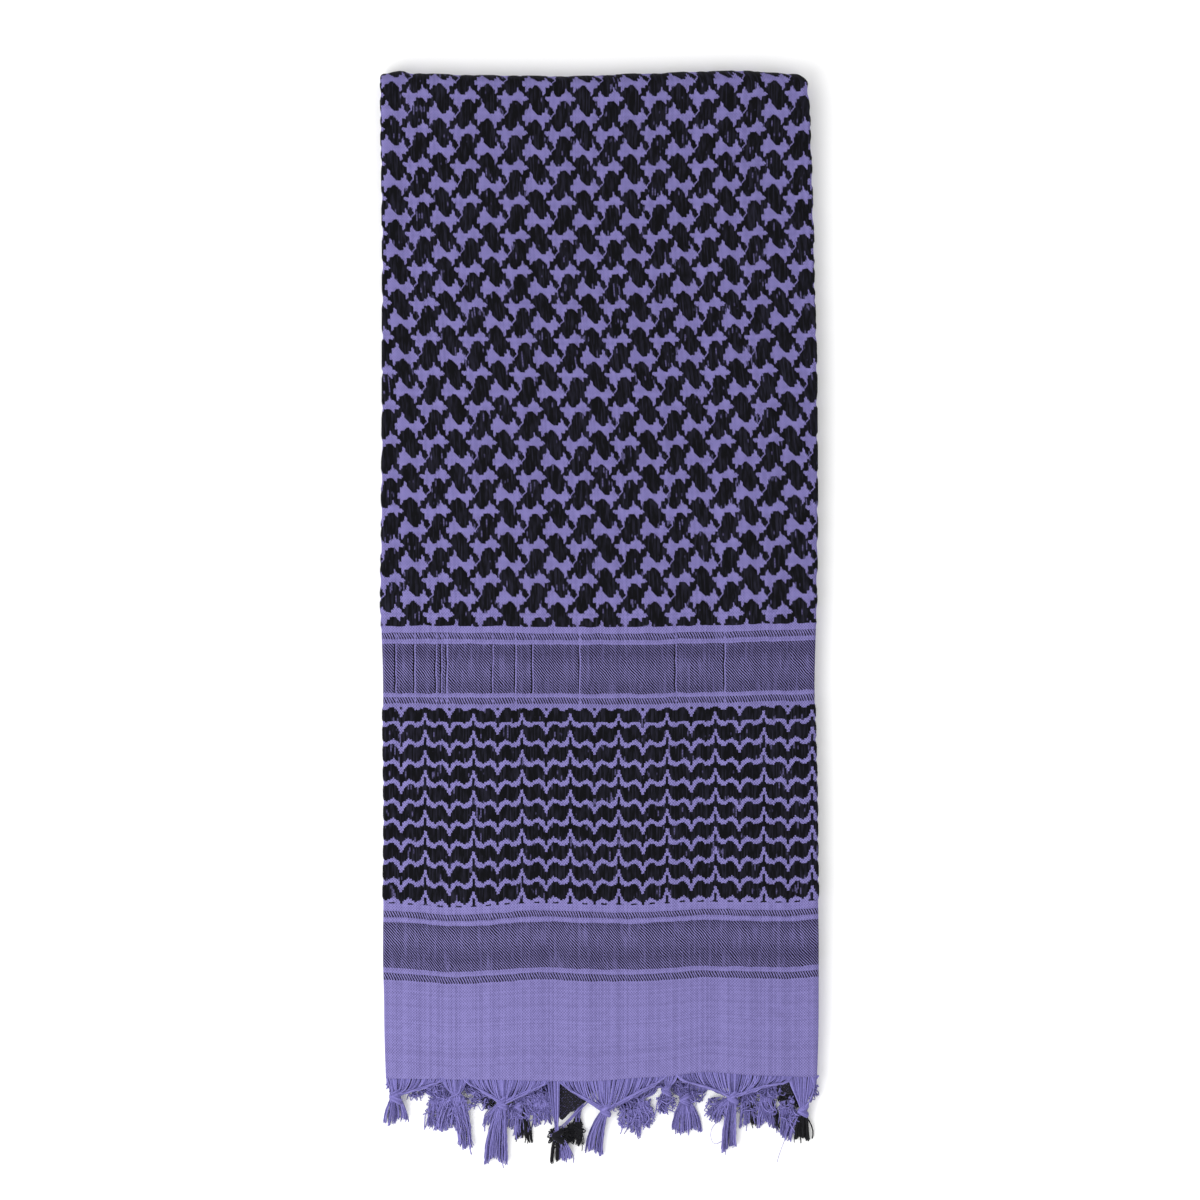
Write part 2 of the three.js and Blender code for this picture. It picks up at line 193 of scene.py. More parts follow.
# %% [markdown]
# Layers share one path: from the front hem along the top of the pile, half a turn round the
# top fold, and back along the table. A place in the pile is then three numbers: how far along
# that path, how far across, and how deep under the outermost face.

# %% Places in the pile
FOLD_TURN = math.pi * FOLD_RADIUS        # length of the half turn
FRONT_RUN = FOLD_Y - HEM_Y               # length of the top of the pile
BELOW = FRONT_RUN + FOLD_TURN            # length at which the path is back under the pile
LAYERS_HEIGHT = 11.2                     # height that the layers' depths are meant for
CROWN_END = 60                           # mm before the fold where the crown begins to fade
LIFT_END = 40                            # the same for creases, which the fold pulls flat
HEM_WAVE_END = 65                        # mm of the path over which the hem's wave dies away


def path_row(along):
    """The row at a length along the path: its y, and how far round the fold it is."""
    if along <= FRONT_RUN:
        return HEM_Y + along, 0.0
    turn = (along - FRONT_RUN) / FOLD_RADIUS
    if turn <= math.pi:
        return FOLD_Y, turn
    return FOLD_Y - (along - FRONT_RUN - FOLD_TURN), math.pi


def place(x, along, depth, hem_wave=1.0):
    """The point of the pile at x across, a length along the path and a depth under the face."""
    y, turn = path_row(along)
    left, right = left_at(y), right_at(y)
    share = min(1.0, abs((2 * x - left - right) / (right - left)))
    if turn == 0:
        height = eased(HEIGHTS, "y", y, "z")
        height -= CROWN * share * share * smooth((FOLD_Y - y) / CROWN_END)
        loose = smooth((FOLD_Y - y) / LIFT_END)
        lift = loose * (lie_of_cloth(x, y) - crease_depth(x, y))
        squeeze = min(1.0, height / LAYERS_HEIGHT)
        wave = hem_wave * smooth(1 - along / HEM_WAVE_END) * (hem_at(x) - HEM_Y)
        return Vector((x, y + wave, height + lift - depth * squeeze))
    if turn < math.pi:
        across = (x - left) / (right - left)
        inset = CORNER_INSETS["left"] * (1 - across) - CORNER_INSETS["right"] * across
        radius = FOLD_RADIUS - depth
        y = FOLD_Y + (radius + eased(TOP_WAVE, "x", x, "dy")) * math.sin(turn)
        x += inset * math.sin(turn) ** 2
        return Vector((x, y, FOLD_RADIUS + radius * math.cos(turn)))
    height = eased(HEIGHTS, "y", y, "z") - CROWN * smooth((FOLD_Y - y) / CROWN_END)
    return Vector((x, y, depth * min(1.0, height / LAYERS_HEIGHT)))


print("path, mm:", round(BELOW + FOLD_Y - BACK_HEM_Y, 1))

# %% [markdown]
# The black pattern repeats every 36 warp ends. A weaver charts such a repeat on squared paper,
# one square for each warp end and pick. Here each string is one warp end, and lists the picks
# where the lilac ground shows; everywhere else a black float covers it. The net repeats every
# 24 picks. The leaves repeat every 14, and are the same to the left and right of a stem, so
# their chart holds half of the repeat. Their first row is two picks shorter.

# %% The weaver's charts
END = 0.692              # mm from one warp end to the next
PICK = 0.7525            # mm from one pick to the next
LEAF_PICK = 0.737        # the same in the leaves, which are beaten closer
REPEAT_ENDS = 36
NET_PICKS = 24
LEAF_PICKS = 14
SHORT_PICKS = 2          # missing from the first row of leaves
NET_ENDS = [
    "8-11 17-21", "8-11 19-21", "4-15 19-21", "4-14 20", "3-12", "0-12",
    "1-12", "4-11", "5-10", "6-10", "7-10", "8-11",
    "8-12", "8-13", "8-14", "6-17", "6-16", "3-12 19-20",
    "4-12 19-21", "7-12 19-21", "8-10 19-23 0-1", "9-10 16-23 0-1", "15-23 0-2 8", "17-23 0-4 7",
    "18-23 0-6", "19-23 0-2", "19-23", "19-23", "19-21", "17-21",
    "17-21", "16-21", "13-21", "15-22", "16-23", "16-23 0",
]
LEAF_HALF = [
    "0-4", "3-9", "5-10", "7-10", "8-11", "8-11",
    "9-11", "9-11", "8-10", "8-9", "7-9", "7-9",
    "6-9", "7-10", "8-11", "8-12", "9-13 0", "12-13 0-2",
]


def picks_of(text):
    """The picks that a chart's string lists."""
    picks = set()
    for span in text.split():
        first, _, last = span.partition("-")
        picks.update(range(int(first), int(last or first) + 1))
    return picks


NET_LILAC = [picks_of(text) for text in NET_ENDS]
LEAF_LILAC = [picks_of(text) for text in LEAF_HALF[::-1] + LEAF_HALF]
print("net and leaf ends:", len(NET_LILAC), len(LEAF_LILAC))

# %% [markdown]
# Bands lie across the cloth at set distances from the fold. Woven rows sag where the cloth
# was pulled into its oblong, and the warp leans in the upper part. So each vertex keeps the
# place that it had on the loom, in millimetres, in its UV: u across the warp ends and v along
# them. The pattern is read there, and leans and sags with the threads.

# %% Bands and the loom's grid
NET_LOW, NET_HIGH = -2.9, 1000           # the net goes on past the fold
LEAF_HIGH, LEAF_LOW = -45.3, -147.7
DASH_BANDS = [(-9.7, -6.3), (-43.3, -39.9), (-154.8, -151.6), (-187.7, -184.0)]
CHECK_BANDS = [(-37.8, -12.1), (-181.4, -157.4)]
NET_START = dict(u=-64.06, v=217.15)
LEAF_START = dict(u=-113.47, v=-57.0)
LEAF_FIRST = -52.6                       # the short first row of leaves lies above this line
WARP_LEAN = [
    dict(y=3, dx=11.4, wide=1.0135),
    dict(y=39, dx=10.4, wide=1.0125),
    dict(y=75, dx=8.9, wide=1.0055),
    dict(y=111, dx=6.9, wide=1.0005),
    dict(y=147, dx=3.6, wide=0.9975),
    dict(y=182, dx=1.3, wide=0.9965),
    dict(y=205, dx=0.0, wide=0.9935),
    dict(y=225, dx=-0.8, wide=0.9915),
    dict(y=249, dx=-1.2, wide=0.999),
    dict(y=276, dx=-0.8, wide=1.003),
]
ROW_SAG = [
    dict(x=-114, top=0.5, middle=0.0, low=0.0),
    dict(x=-74, top=-0.7, middle=0.0, low=-2.1),
    dict(x=-27, top=-1.9, middle=-0.4, low=0.3),
    dict(x=-5, top=-2.2, middle=-0.5, low=-0.6),
    dict(x=19, top=-1.7, middle=-0.5, low=-0.8),
    dict(x=56, top=-0.6, middle=0.2, low=1.0),
    dict(x=98, top=1.0, middle=1.4, low=0.3),
    dict(x=115, top=1.2, middle=1.8, low=1.5),
]
SAG_TOP_Y, SAG_LOW_Y = 220, -170


def on_loom(x, y):
    """Where a place on the folded cloth was on the loom, in mm."""
    lean = eased(WARP_LEAN, "y", y, "dx")
    middle = eased(ROW_SAG, "x", x, "middle")
    if y >= 0:
        other, share = eased(ROW_SAG, "x", x, "top"), smooth(y / SAG_TOP_Y)
    else:
        other, share = eased(ROW_SAG, "x", x, "low"), smooth(y / SAG_LOW_Y)
    return (x - lean) / eased(WARP_LEAN, "y", y, "wide"), y - (middle + (other - middle) * share)


def black_at(u, v):
    """1 where a black float lies at a place on the loom, 0 on the ground."""
    if v > NET_LOW:
        end = math.floor((u - NET_START["u"]) / END) % REPEAT_ENDS
        return math.floor((NET_START["v"] - v) / PICK) % NET_PICKS not in NET_LILAC[end]
    if LEAF_LOW < v < LEAF_HIGH:
        end = math.floor((u - LEAF_START["u"]) / END) % REPEAT_ENDS
        pick = math.floor((LEAF_START["v"] - v) / LEAF_PICK) - SHORT_PICKS * (v > LEAF_FIRST)
        return pick % LEAF_PICKS not in LEAF_LILAC[end]
    return 0


lilac_share = sum(map(len, NET_LILAC)) / (REPEAT_ENDS * NET_PICKS)
print("black share of a net repeat:", round(1 - lilac_share, 2))

# %% [markdown]
# Every stretch of cloth starts as a flat grid. A function moves each of its vertices to its
# place in the pile and says where it was on the loom. Black floats stand proud of the ground,
# so the outer face is raised there, and Solidify gives the cloth its thickness inwards.

# %% A sheet of cloth from a grid
CLOTH_THICKNESS = 0.8
FLOAT_RISE = 0.42        # how far a float stands over the ground
SIDE_RISE = 0.7          # share more that it stands out where it bends round a side fold
RELIEF_REACH = 0.55      # mm round a vertex that its rise is averaged over
LOOM_UV = "loom"


def relief_at(u, v):
    """Share of black floats just round a place, 0 to 1."""
    steps = (-RELIEF_REACH, 0.0, RELIEF_REACH)
    return sum(black_at(u + du, v + dv) for du in steps for dv in steps) / len(steps) ** 2


def cloth_sheet(name, columns, rows, move, material, body_rise=FLOAT_RISE):
    """A sheet of cloth: move(c, r) gives the place in mm and the loom place of a grid vertex."""
    mesh = bmesh.new()
    bmesh.ops.create_grid(mesh, x_segments=columns, y_segments=rows, size=0.5)
    loom = {}
    for vertex in mesh.verts:
        column = round((vertex.co.x + 0.5) * columns)
        row = round((vertex.co.y + 0.5) * rows)
        vertex.co, loom[vertex.index] = move(column, row)
    mesh.normal_update()
    for vertex in mesh.verts:
        above = smooth((vertex.normal.z + 0.9) / 0.5)
        rise = body_rise * (1 + SIDE_RISE * abs(vertex.normal.x))
        vertex.co += vertex.normal * rise * above * relief_at(*loom[vertex.index])
    layer = mesh.loops.layers.uv.new(LOOM_UV)
    for face in mesh.faces:
        face.smooth = True
        for loop in face.loops:
            loop[layer].uv = loom[loop.vert.index]
    bmesh.ops.scale(mesh, vec=(MM, MM, MM), verts=mesh.verts)
    data = bpy.data.meshes.new(name)
    mesh.to_mesh(data)
    mesh.free()
    data.materials.append(material)
    piece = bpy.data.objects.new(name, data)
    bpy.context.scene.collection.objects.link(piece)
    thick = piece.modifiers.new("cloth thickness", "SOLIDIFY")
    thick.thickness = CLOTH_THICKNESS * MM
    thick.offset = -1
    thick.use_rim = True
    print(name, "faces:", len(data.polygons))
    return piece


def steps_between(start, stop, count):
    """Evenly spaced values from start up to, and without, stop."""
    return [start + (stop - start) * k / count for k in range(count)]


# %% [markdown]
# Materials are nodes. One small function adds a node, sets its settings and fills or links its
# inputs, and gives back one output to go on with. Colours are written as sRGB hex, as a dyer's
# card would give them, and turned linear for the shader.

# %% Colour and node helpers
MATH = "ShaderNodeMath"


def linear(hex_colour):
    """An sRGB hex colour as linear red, green, blue and alpha."""
    channels = [int(hex_colour[k:k + 2], 16) / 255 for k in (1, 3, 5)]
    return [c / 12.92 if c <= 0.04045 else ((c + 0.055) / 1.055) ** 2.4 for c in channels] + [1.0]


def add(tree, kind, inputs=(), out=0, **settings):
    """Adds a node with its settings, fills or links its inputs, and returns one output."""
    node = tree.nodes.new(kind)
    for name, value in settings.items():
        setattr(node, name, value)
    for name, value in (inputs if isinstance(inputs, dict) else dict(enumerate(inputs))).items():
        if isinstance(value, bpy.types.NodeSocket):
            tree.links.new(value, node.inputs[name])
        else:
            node.inputs[name].default_value = value
    return node.outputs[out] if node.outputs else node


def new_material(name):
    """An empty material with its output, and its tree."""
    material = bpy.data.materials.new(name)
    material.use_nodes = True
    material.node_tree.nodes.clear()
    return material, material.node_tree


# %% [markdown]
# The shader reads the same charts. A colour ramp with hard steps holds one stop for each pick,
# and each of its three channels holds twelve warp ends as the bits of a number. The stop is
# chosen by the pick, the channel and the bit by the warp end. That keeps a repeat in one node,
# where one node for each of its squares would be slow.

# %% Reading a chart in a shader
BITS = 12


def chart_float(tree, u, v, start, lilac, picks, pick_size):
    """1 where the chart has a black float, from loom places u and v in mm."""
    ends = add(tree, MATH, (u, start["u"]), operation="SUBTRACT")
    ends = add(tree, MATH, (ends, END * REPEAT_ENDS), operation="DIVIDE")
    ends = add(tree, MATH, (ends,), operation="FRACT")
    end = add(tree, MATH, (ends, REPEAT_ENDS), operation="MULTIPLY")
    end = add(tree, MATH, (end,), operation="FLOOR")
    rows = add(tree, MATH, (start["v"], v), operation="SUBTRACT")
    rows = add(tree, MATH, (rows, pick_size * picks), operation="DIVIDE")
    rows = add(tree, MATH, (rows,), operation="FRACT")
    row = add(tree, MATH, (rows, picks), operation="MULTIPLY")
    row = add(tree, MATH, (row,), operation="FLOOR")
    row = add(tree, MATH, (row, 0.5), operation="ADD")
    row = add(tree, MATH, (row, picks), operation="DIVIDE")
    colour = add(tree, "ShaderNodeValToRGB", (row,))
    ramp = colour.node.color_ramp
    ramp.interpolation = "CONSTANT"
    ramp.elements.remove(ramp.elements[1])
    for pick in range(picks):
        stop = ramp.elements.new(pick / picks) if pick else ramp.elements[0]
        numbers = [
            sum(2 ** k for k in range(BITS) if pick not in lilac[block * BITS + k])
            for block in range(3)
        ]
        stop.color = [number / 2 ** BITS for number in numbers] + [1.0]
    parts = add(tree, "ShaderNodeSeparateColor", (colour,)).node.outputs
    block = add(tree, MATH, (end, BITS), operation="DIVIDE")
    block = add(tree, MATH, (block,), operation="FLOOR")
    number = 0.0
    for k in range(3):
        chosen = add(tree, MATH, (block, k, 0.5), operation="COMPARE")
        number = add(tree, MATH, (parts[k], chosen, number), operation="MULTIPLY_ADD")
    bit = add(tree, MATH, (end, BITS), operation="MODULO")
    bit = add(tree, MATH, (2.0, bit), operation="POWER")
    number = add(tree, MATH, (number, 2 ** BITS, 0.25), operation="MULTIPLY_ADD")
    number = add(tree, MATH, (number, bit), operation="DIVIDE")
    number = add(tree, MATH, (number,), operation="FLOOR")
    return add(tree, MATH, (number, 2.0), operation="MODULO")


def loom_places(tree):
    """The loom UV, and its u and v."""
    uv = add(tree, "ShaderNodeUVMap", uv_map=LOOM_UV)
    parts = add(tree, "ShaderNodeSeparateXYZ", (uv,)).node.outputs
    return uv, parts["X"], parts["Y"]


def plain_weave(tree, u, v):
    """Ridges of the warp ends, and the chequer of ends over and under picks, -1 to 1."""
    ridges = add(tree, MATH, (u, math.pi / END), operation="MULTIPLY")
    ridges = add(tree, MATH, (ridges,), operation="SINE")
    picks = add(tree, MATH, (v, math.pi / PICK), operation="MULTIPLY")
    picks = add(tree, MATH, (picks,), operation="SINE")
    return ridges, add(tree, MATH, (ridges, picks), operation="MULTIPLY")


def in_bands(tree, v, bands):
    """1 where v lies in one of the bands."""
    total = 0.0
    for low, high in bands:
        inside = add(tree, MATH, (v, (low + high) / 2, (high - low) / 2), operation="COMPARE")
        total = add(tree, MATH, (inside, total), operation="ADD")
    return total


# %% [markdown]
# Threads are not laid with a ruler: they drift slowly, and each warp end has its own slack. So
# the shader reads the charts at places that wander a little. Every warp end also has a number,
# and noise that is read by that number runs along the ends in streaks.

# %% Threads in the shader
DRIFT_U, DRIFT_V, SLACK = 1.3, 1.5, 0.4  # mm that threads wander, and one end jumps


def thread_number(tree, at, spacing):
    """The number of the thread at a place."""
    number = add(tree, MATH, (at, spacing), operation="DIVIDE")
    return add(tree, MATH, (number,), operation="FLOOR")


def loom_threads(tree):
    """A place on the loom, where its threads wander to, and its warp end's number and tone."""
    uv, place_u, place_v = loom_places(tree)
    drift = add(tree, "ShaderNodeTexNoise", {"Vector": uv, "Scale": 0.16, "Detail": 2.0}, out="Color")
    drift = add(tree, "ShaderNodeSeparateColor", (drift,)).node.outputs
    end = thread_number(tree, place_u, END)
    end_tone = add(tree, "ShaderNodeTexWhiteNoise", {"W": end}, noise_dimensions="1D")
    u = add(tree, MATH, (drift[0], DRIFT_U, -DRIFT_U / 2), operation="MULTIPLY_ADD")
    u = add(tree, MATH, (u, place_u), operation="ADD")
    v = add(tree, MATH, (drift[1], DRIFT_V, -DRIFT_V / 2), operation="MULTIPLY_ADD")
    v = add(tree, MATH, (v, place_v), operation="ADD")
    slack_v = add(tree, MATH, (end_tone, SLACK, -SLACK / 2), operation="MULTIPLY_ADD")
    slack_v = add(tree, MATH, (slack_v, v), operation="ADD")
    return dict(uv=uv, place_v=place_v, u=u, v=v, slack_v=slack_v, end=end, end_tone=end_tone)


def streaks(tree, loom, length, seed, scale, detail):
    """Noise in streaks of a length along the warp ends, each end with its own."""
    row = add(tree, MATH, (loom["place_v"], length), operation="DIVIDE")
    at = add(tree, "ShaderNodeCombineXYZ", (loom["end"], row, seed))
    return add(tree, "ShaderNodeTexNoise", {"Vector": at, "Scale": scale, "Detail": detail})


print("mm that threads wander:", DRIFT_U, DRIFT_V, SLACK)

# %% [markdown]
# Black floats make the net and the leaves. They lie side by side like combed hair. A few gape,
# and the ground just shows between them.

# %% Black floats in the shader
FLOAT_MM = 9.0           # mm that one stray light yarn runs before it dives again


def black_floats(tree, loom):
    """1 where a black float lies, less where it gapes, 0 on the ground."""
    u, v, slack_v = loom["u"], loom["v"], loom["slack_v"]
    net = chart_float(tree, u, slack_v, NET_START, NET_LILAC, NET_PICKS, PICK)
    net = add(tree, MATH, (net, in_bands(tree, v, [(NET_LOW, NET_HIGH)])), operation="MULTIPLY")
    first = in_bands(tree, v, [(LEAF_FIRST, LEAF_HIGH)])
    v_leaf = add(tree, MATH, (first, SHORT_PICKS * LEAF_PICK, slack_v), operation="MULTIPLY_ADD")
    leaf = chart_float(tree, u, v_leaf, LEAF_START, LEAF_LILAC, LEAF_PICKS, LEAF_PICK)
    leaf = add(tree, MATH, (leaf, in_bands(tree, v, [(LEAF_LOW, LEAF_HIGH)])), operation="MULTIPLY")
    floats = add(tree, MATH, (net, leaf), operation="MAXIMUM")
    gape = streaks(tree, loom, FLOAT_MM, 0.0, 1.3, 0.0)
    patch = add(tree, "ShaderNodeTexNoise", {"Vector": loom["uv"], "Scale": 0.09, "Detail": 0.0})
    gape = add(tree, MATH, (patch, 0.5, gape), operation="MULTIPLY_ADD")
    gape = add(tree, "ShaderNodeMapRange", (gape, 1.0, 1.06, 0.0, 0.4))
    shown = add(tree, MATH, (1.0, gape), operation="SUBTRACT")
    return add(tree, MATH, (floats, shown), operation="MULTIPLY")


print("black floats between:", (LEAF_LOW, LEAF_HIGH), (NET_LOW, NET_HIGH))

# %% [markdown]
# In the checked and dashed bands black and lilac yarns take turns in slanting steps. Above the
# leaves a few warp ends stayed lilac, and through the upper checks each of them has a dark one
# beside it.

# %% Checked and dashed bands in the shader
CHECK_SLANT, DASH_SLANT = 0.85, 0.5      # how far the turns step across for each mm of height
CHECK_SHARE, DASH_SHARE = 0.6, 0.5       # of each turn that is black
MOTTLE_MM = 7.0          # mm of a darker or lighter streak in the checks
# Where those warp ends lie at the net's lower edge, in mm across the folded cloth.
PALE_ENDS = [-106.2, -96.3, -85.1, -82.3, -79.5, -55.6, -43.6, -34.7, -10.2, 39.9, 65.5]


def black_turns(tree, loom):
    """How much black shows in the checked and dashed bands."""
    u, v, turns = loom["u"], loom["v"], 0.0
    checks, dashes = (CHECK_BANDS, CHECK_SLANT, CHECK_SHARE), (DASH_BANDS, DASH_SLANT, DASH_SHARE)
    for bands, slant, share in (checks, dashes):
        both = add(tree, MATH, (v, slant, u), operation="MULTIPLY_ADD")
        both = add(tree, MATH, (both, 2 * END), operation="FLOORED_MODULO")
        both = add(tree, MATH, (both, 2 * END * share), operation="LESS_THAN")
        both = add(tree, MATH, (both, in_bands(tree, v, bands)), operation="MULTIPLY")
        turns = add(tree, MATH, (turns, both), operation="ADD")
    lean, wide = WARP_LEAN[0]["dx"], WARP_LEAN[0]["wide"]
    pale_at = [(x - lean) / wide for x in PALE_ENDS]
    pale = in_bands(tree, u, [(at - END / 2, at + END / 2) for at in pale_at])
    upper_bands = in_bands(tree, v, [(LEAF_HIGH, NET_LOW)])
    pale = add(tree, MATH, (pale, upper_bands), operation="MULTIPLY")
    pale = add(tree, MATH, (1.0, pale), operation="SUBTRACT")
    turns = add(tree, MATH, (turns, pale), operation="MULTIPLY")
    dark = in_bands(tree, u, [(at - 1.5 * END, at - END / 2) for at in pale_at])
    upper_check = in_bands(tree, v, CHECK_BANDS[:1])
    dark = add(tree, MATH, (dark, upper_check, turns), operation="MULTIPLY_ADD")
    turns = add(tree, MATH, (dark, 1.0), operation="MINIMUM")
    mottle = streaks(tree, loom, MOTTLE_MM, 9.0, 0.45, 2.0)
    mottle = add(tree, "ShaderNodeMapRange", (mottle, 0.3, 0.7, 0.66, 1.36))
    return add(tree, MATH, (turns, mottle), operation="MULTIPLY")


print("warp ends that stayed lilac:", len(PALE_ENDS))

# %% [markdown]
# The cloth's face is yarn-dyed cotton, woven on a loom. Dull, slightly hairy yarn gives high
# roughness and a weak sheen. Its lilac ground is a plain weave that varies a little from yarn
# to yarn, with soft blotches in the dye. Painted shade and highlight make the chequer of its
# weave lighter and darker from thread to thread. Each black yarn is lighter or darker than
# its neighbour. Relief too fine for the mesh is a bump: ridges of the floats, and the plain weave.

# %% Yarn-dyed cotton face
LILAC, LILAC_DARK = "#7D76AD", "#595380"
BLACK, BLACK_SOFT = "#06060A", "#1D1C29"
CHECK_BLACK = "#0C0B12"


def lilac_ground(tree, loom, weave):
    """The ground's colour, from each yarn's tone, the dye, and painted shade and highlight of the weave's
    chequer.
    """
    dye = add(tree, "ShaderNodeTexNoise", {"Vector": loom["uv"], "Scale": 0.35, "Detail": 4.0})
    pick = thread_number(tree, loom["place_v"], PICK)
    pick_tone = add(tree, "ShaderNodeTexWhiteNoise", {"W": pick}, noise_dimensions="1D")
    tone = add(tree, MATH, (loom["end_tone"], 0.45, -0.22), operation="MULTIPLY_ADD")
    tone = add(tree, MATH, (pick_tone, 0.3, tone), operation="MULTIPLY_ADD")
    tone = add(tree, MATH, (dye, 0.7, tone), operation="MULTIPLY_ADD")
    # Painted shade and highlight: the weave's chequer makes the ground lighter and darker from thread to
    # thread.
    tone = add(tree, MATH, (weave, 0.7, tone), operation="MULTIPLY_ADD")
    return add(tree, "ShaderNodeMixRGB", (tone, linear(LILAC_DARK), linear(LILAC)))


def cotton_face():
    material, tree = new_material("yarn-dyed cotton, plain weave with black floats")
    loom = loom_threads(tree)
    ridges, weave = plain_weave(tree, loom["u"], loom["v"])
    floats = black_floats(tree, loom)
    streak = streaks(tree, loom, FLOAT_MM, 4.0, 0.9, 2.0)
    streak = add(tree, "ShaderNodeMapRange", (streak, 0.45, 0.72, 0.0, 1.0))
    black = add(tree, "ShaderNodeMixRGB", (streak, linear(BLACK), linear(BLACK_SOFT)))
    ground = lilac_ground(tree, loom, weave)
    turns = black_turns(tree, loom)
    colour = add(tree, "ShaderNodeMixRGB", (turns, ground, linear(CHECK_BLACK)))
    colour = add(tree, "ShaderNodeMixRGB", (floats, colour, black))
    ridge = add(tree, MATH, (ridges,), operation="ABSOLUTE")
    ridge = add(tree, MATH, (ridge, 0.5, 0.7), operation="MULTIPLY_ADD")
    flat_weave = add(tree, MATH, (weave, 0.3), operation="MULTIPLY")
    height = add(tree, "ShaderNodeMixRGB", (floats, flat_weave, ridge))
    bump = add(tree, "ShaderNodeBump", {"Strength": 0.55, "Distance": 0.25 * MM, "Height": height})
    shader = add(tree, "ShaderNodeBsdfPrincipled", {
        "Base Color": colour, "Roughness": 0.9, "Specular IOR Level": 0.09,
        "Sheen Weight": 0.03, "Sheen Roughness": 0.5, "Normal": bump,
    })
    add(tree, "ShaderNodeOutputMaterial", {"Surface": shader})
    return material


face_cotton = cotton_face()
print("nodes in the face:", len(face_cotton.node_tree.nodes))

# %% [markdown]
# The reverse is made nearly black here, with only specks of lilac between its yarns, so the
# places between the tassels where it shows are dark.

# %% Reverse of the cotton
REVERSE_BLACK, REVERSE_LILAC = "#121117", "#4F4A76"


def cotton_reverse():
    material, tree = new_material("reverse of the woven cotton, made nearly black")
    uv, place_u, place_v = loom_places(tree)
    _, weave = plain_weave(tree, place_u, place_v)
    speck = add(tree, "ShaderNodeTexNoise", {"Vector": uv, "Scale": 1.3, "Detail": 2.0})
    speck = add(tree, MATH, (weave, 0.12, speck), operation="MULTIPLY_ADD")
    speck = add(tree, "ShaderNodeMapRange", (speck, 0.58, 0.72, 0.0, 0.8))
    # Nearly black with lilac specks: this is what makes the places between the tassels dark.
    colour = add(tree, "ShaderNodeMixRGB", (speck, linear(REVERSE_BLACK), linear(REVERSE_LILAC)))
    bump = add(tree, "ShaderNodeBump", {"Strength": 0.6, "Distance": 0.2 * MM, "Height": weave})
    shader = add(tree, "ShaderNodeBsdfPrincipled", {
        "Base Color": colour, "Roughness": 0.9, "Specular IOR Level": 0.2,
        "Sheen Weight": 0.1, "Sheen Roughness": 0.5, "Normal": bump,
    })
    add(tree, "ShaderNodeOutputMaterial", {"Surface": shader})
    return material


reverse_cotton = cotton_reverse()
print("nodes in the reverse:", len(reverse_cotton.node_tree.nodes))

# %% [markdown]
# The outermost layer is the one that shows: flat on top, turned in by half a turn at each side
# where it becomes the next layer, and rolled over the top fold. A short lip of the turned-in
# layer is enough, because the rest is hidden. The half turns get finer columns than the flat.

# %% The outermost layer
TURN_RADIUS = 1.45       # of the half turn at a side fold
LIP = 8.0                # how much of the turned-in layer is built
HALF_FLAT = 112.0        # nominal half width of the flat, for the columns only
TURN = math.pi * TURN_RADIUS


def outer_columns(flat_steps, turn_steps, lip_steps):
    """Places across the outermost layer, as lengths from its middle."""
    ends = (-HALF_FLAT - TURN - LIP, -HALF_FLAT - TURN, -HALF_FLAT)
    left = steps_between(ends[0], ends[1], lip_steps) + steps_between(ends[1], ends[2], turn_steps)
    flat = steps_between(-HALF_FLAT, HALF_FLAT, flat_steps)
    return left + flat + [HALF_FLAT] + [-value for value in left[::-1]]


def outer_place(across, along):
    """The point of the outermost layer, and its place on the loom."""
    y, turn = path_row(along)
    puff = 1 + 0.22 * noise.noise(Vector((y / 13, math.copysign(5, across), turn)))
    radius = TURN_RADIUS * puff
    inner_left, inner_right = left_at(y) + radius, right_at(y) - radius
    past = abs(across) - HALF_FLAT
    if past <= 0:
        share = (across / HALF_FLAT + 1) / 2
        x, depth, u = inner_left + (inner_right - inner_left) * share, 0.0, None
    else:
        side = math.copysign(1, across)
        edge = inner_right if side > 0 else inner_left
        angle = min(past / TURN_RADIUS, math.pi)
        lip = max(0.0, past - TURN)
        x = edge + side * (radius * math.sin(angle) - lip)
        depth, u = radius * (1 - math.cos(angle)), edge + side * past
    point = place(x, along, depth)
    row_y = HEM_Y + along if along < BELOW else y
    return point, on_loom(x if u is None else u, row_y)


front_columns = outer_columns(128, 7, 3)
join_along = BELOW + FOLD_Y - JOIN_Y
front_rows = steps_between(0, FRONT_RUN, 298) + steps_between(FRONT_RUN, BELOW, 13)
front_rows += steps_between(BELOW, join_along, 4) + [join_along]
front = cloth_sheet(
    "front_cloth", len(front_columns) - 1, len(front_rows) - 1,
    lambda c, r: outer_place(front_columns[c], front_rows[r]), face_cotton)

back_columns = outer_columns(44, 6, 2)
back_length = JOIN_Y - BACK_HEM_Y
back_rows = [join_along + value for value in steps_between(0, back_length, 150) + [back_length]]
back = cloth_sheet(
    "back_cloth", len(back_columns) - 1, len(back_rows) - 1,
    lambda c, r: outer_place(back_columns[c], back_rows[r]), face_cotton)

# %% [markdown]
# Between the two lie the hidden layers. Each pleat is a flattened sleeve of cloth with a round
# fold at either side, and the sleeve is doubled over the top fold like the rest. One sleeve
# that follows the whole path gives both of the round edges that show between the outer folds,
# uneven along their length because no pleat lies exactly on the one below.

# %% The hidden layers
SLEEVE_DEPTH = 3.2       # of its outer side under the outermost face
SLEEVE_HEIGHT = 2.5
SLEEVE_INSET = 1.3       # of its folds from the outermost folds
SLEEVE_FLAT_STEPS = 10
SLEEVE_TURN_STEPS = 7
SLEEVE_HEM_GAP = 3.0     # how far its hem stays behind the front hem
SLEEVE_WANDER = 1.3      # how far its folds wander in and out
SLEEVE_SHIFT = dict(u=-7.0, v=-5.0)      # on the loom, from the layer that lies over it


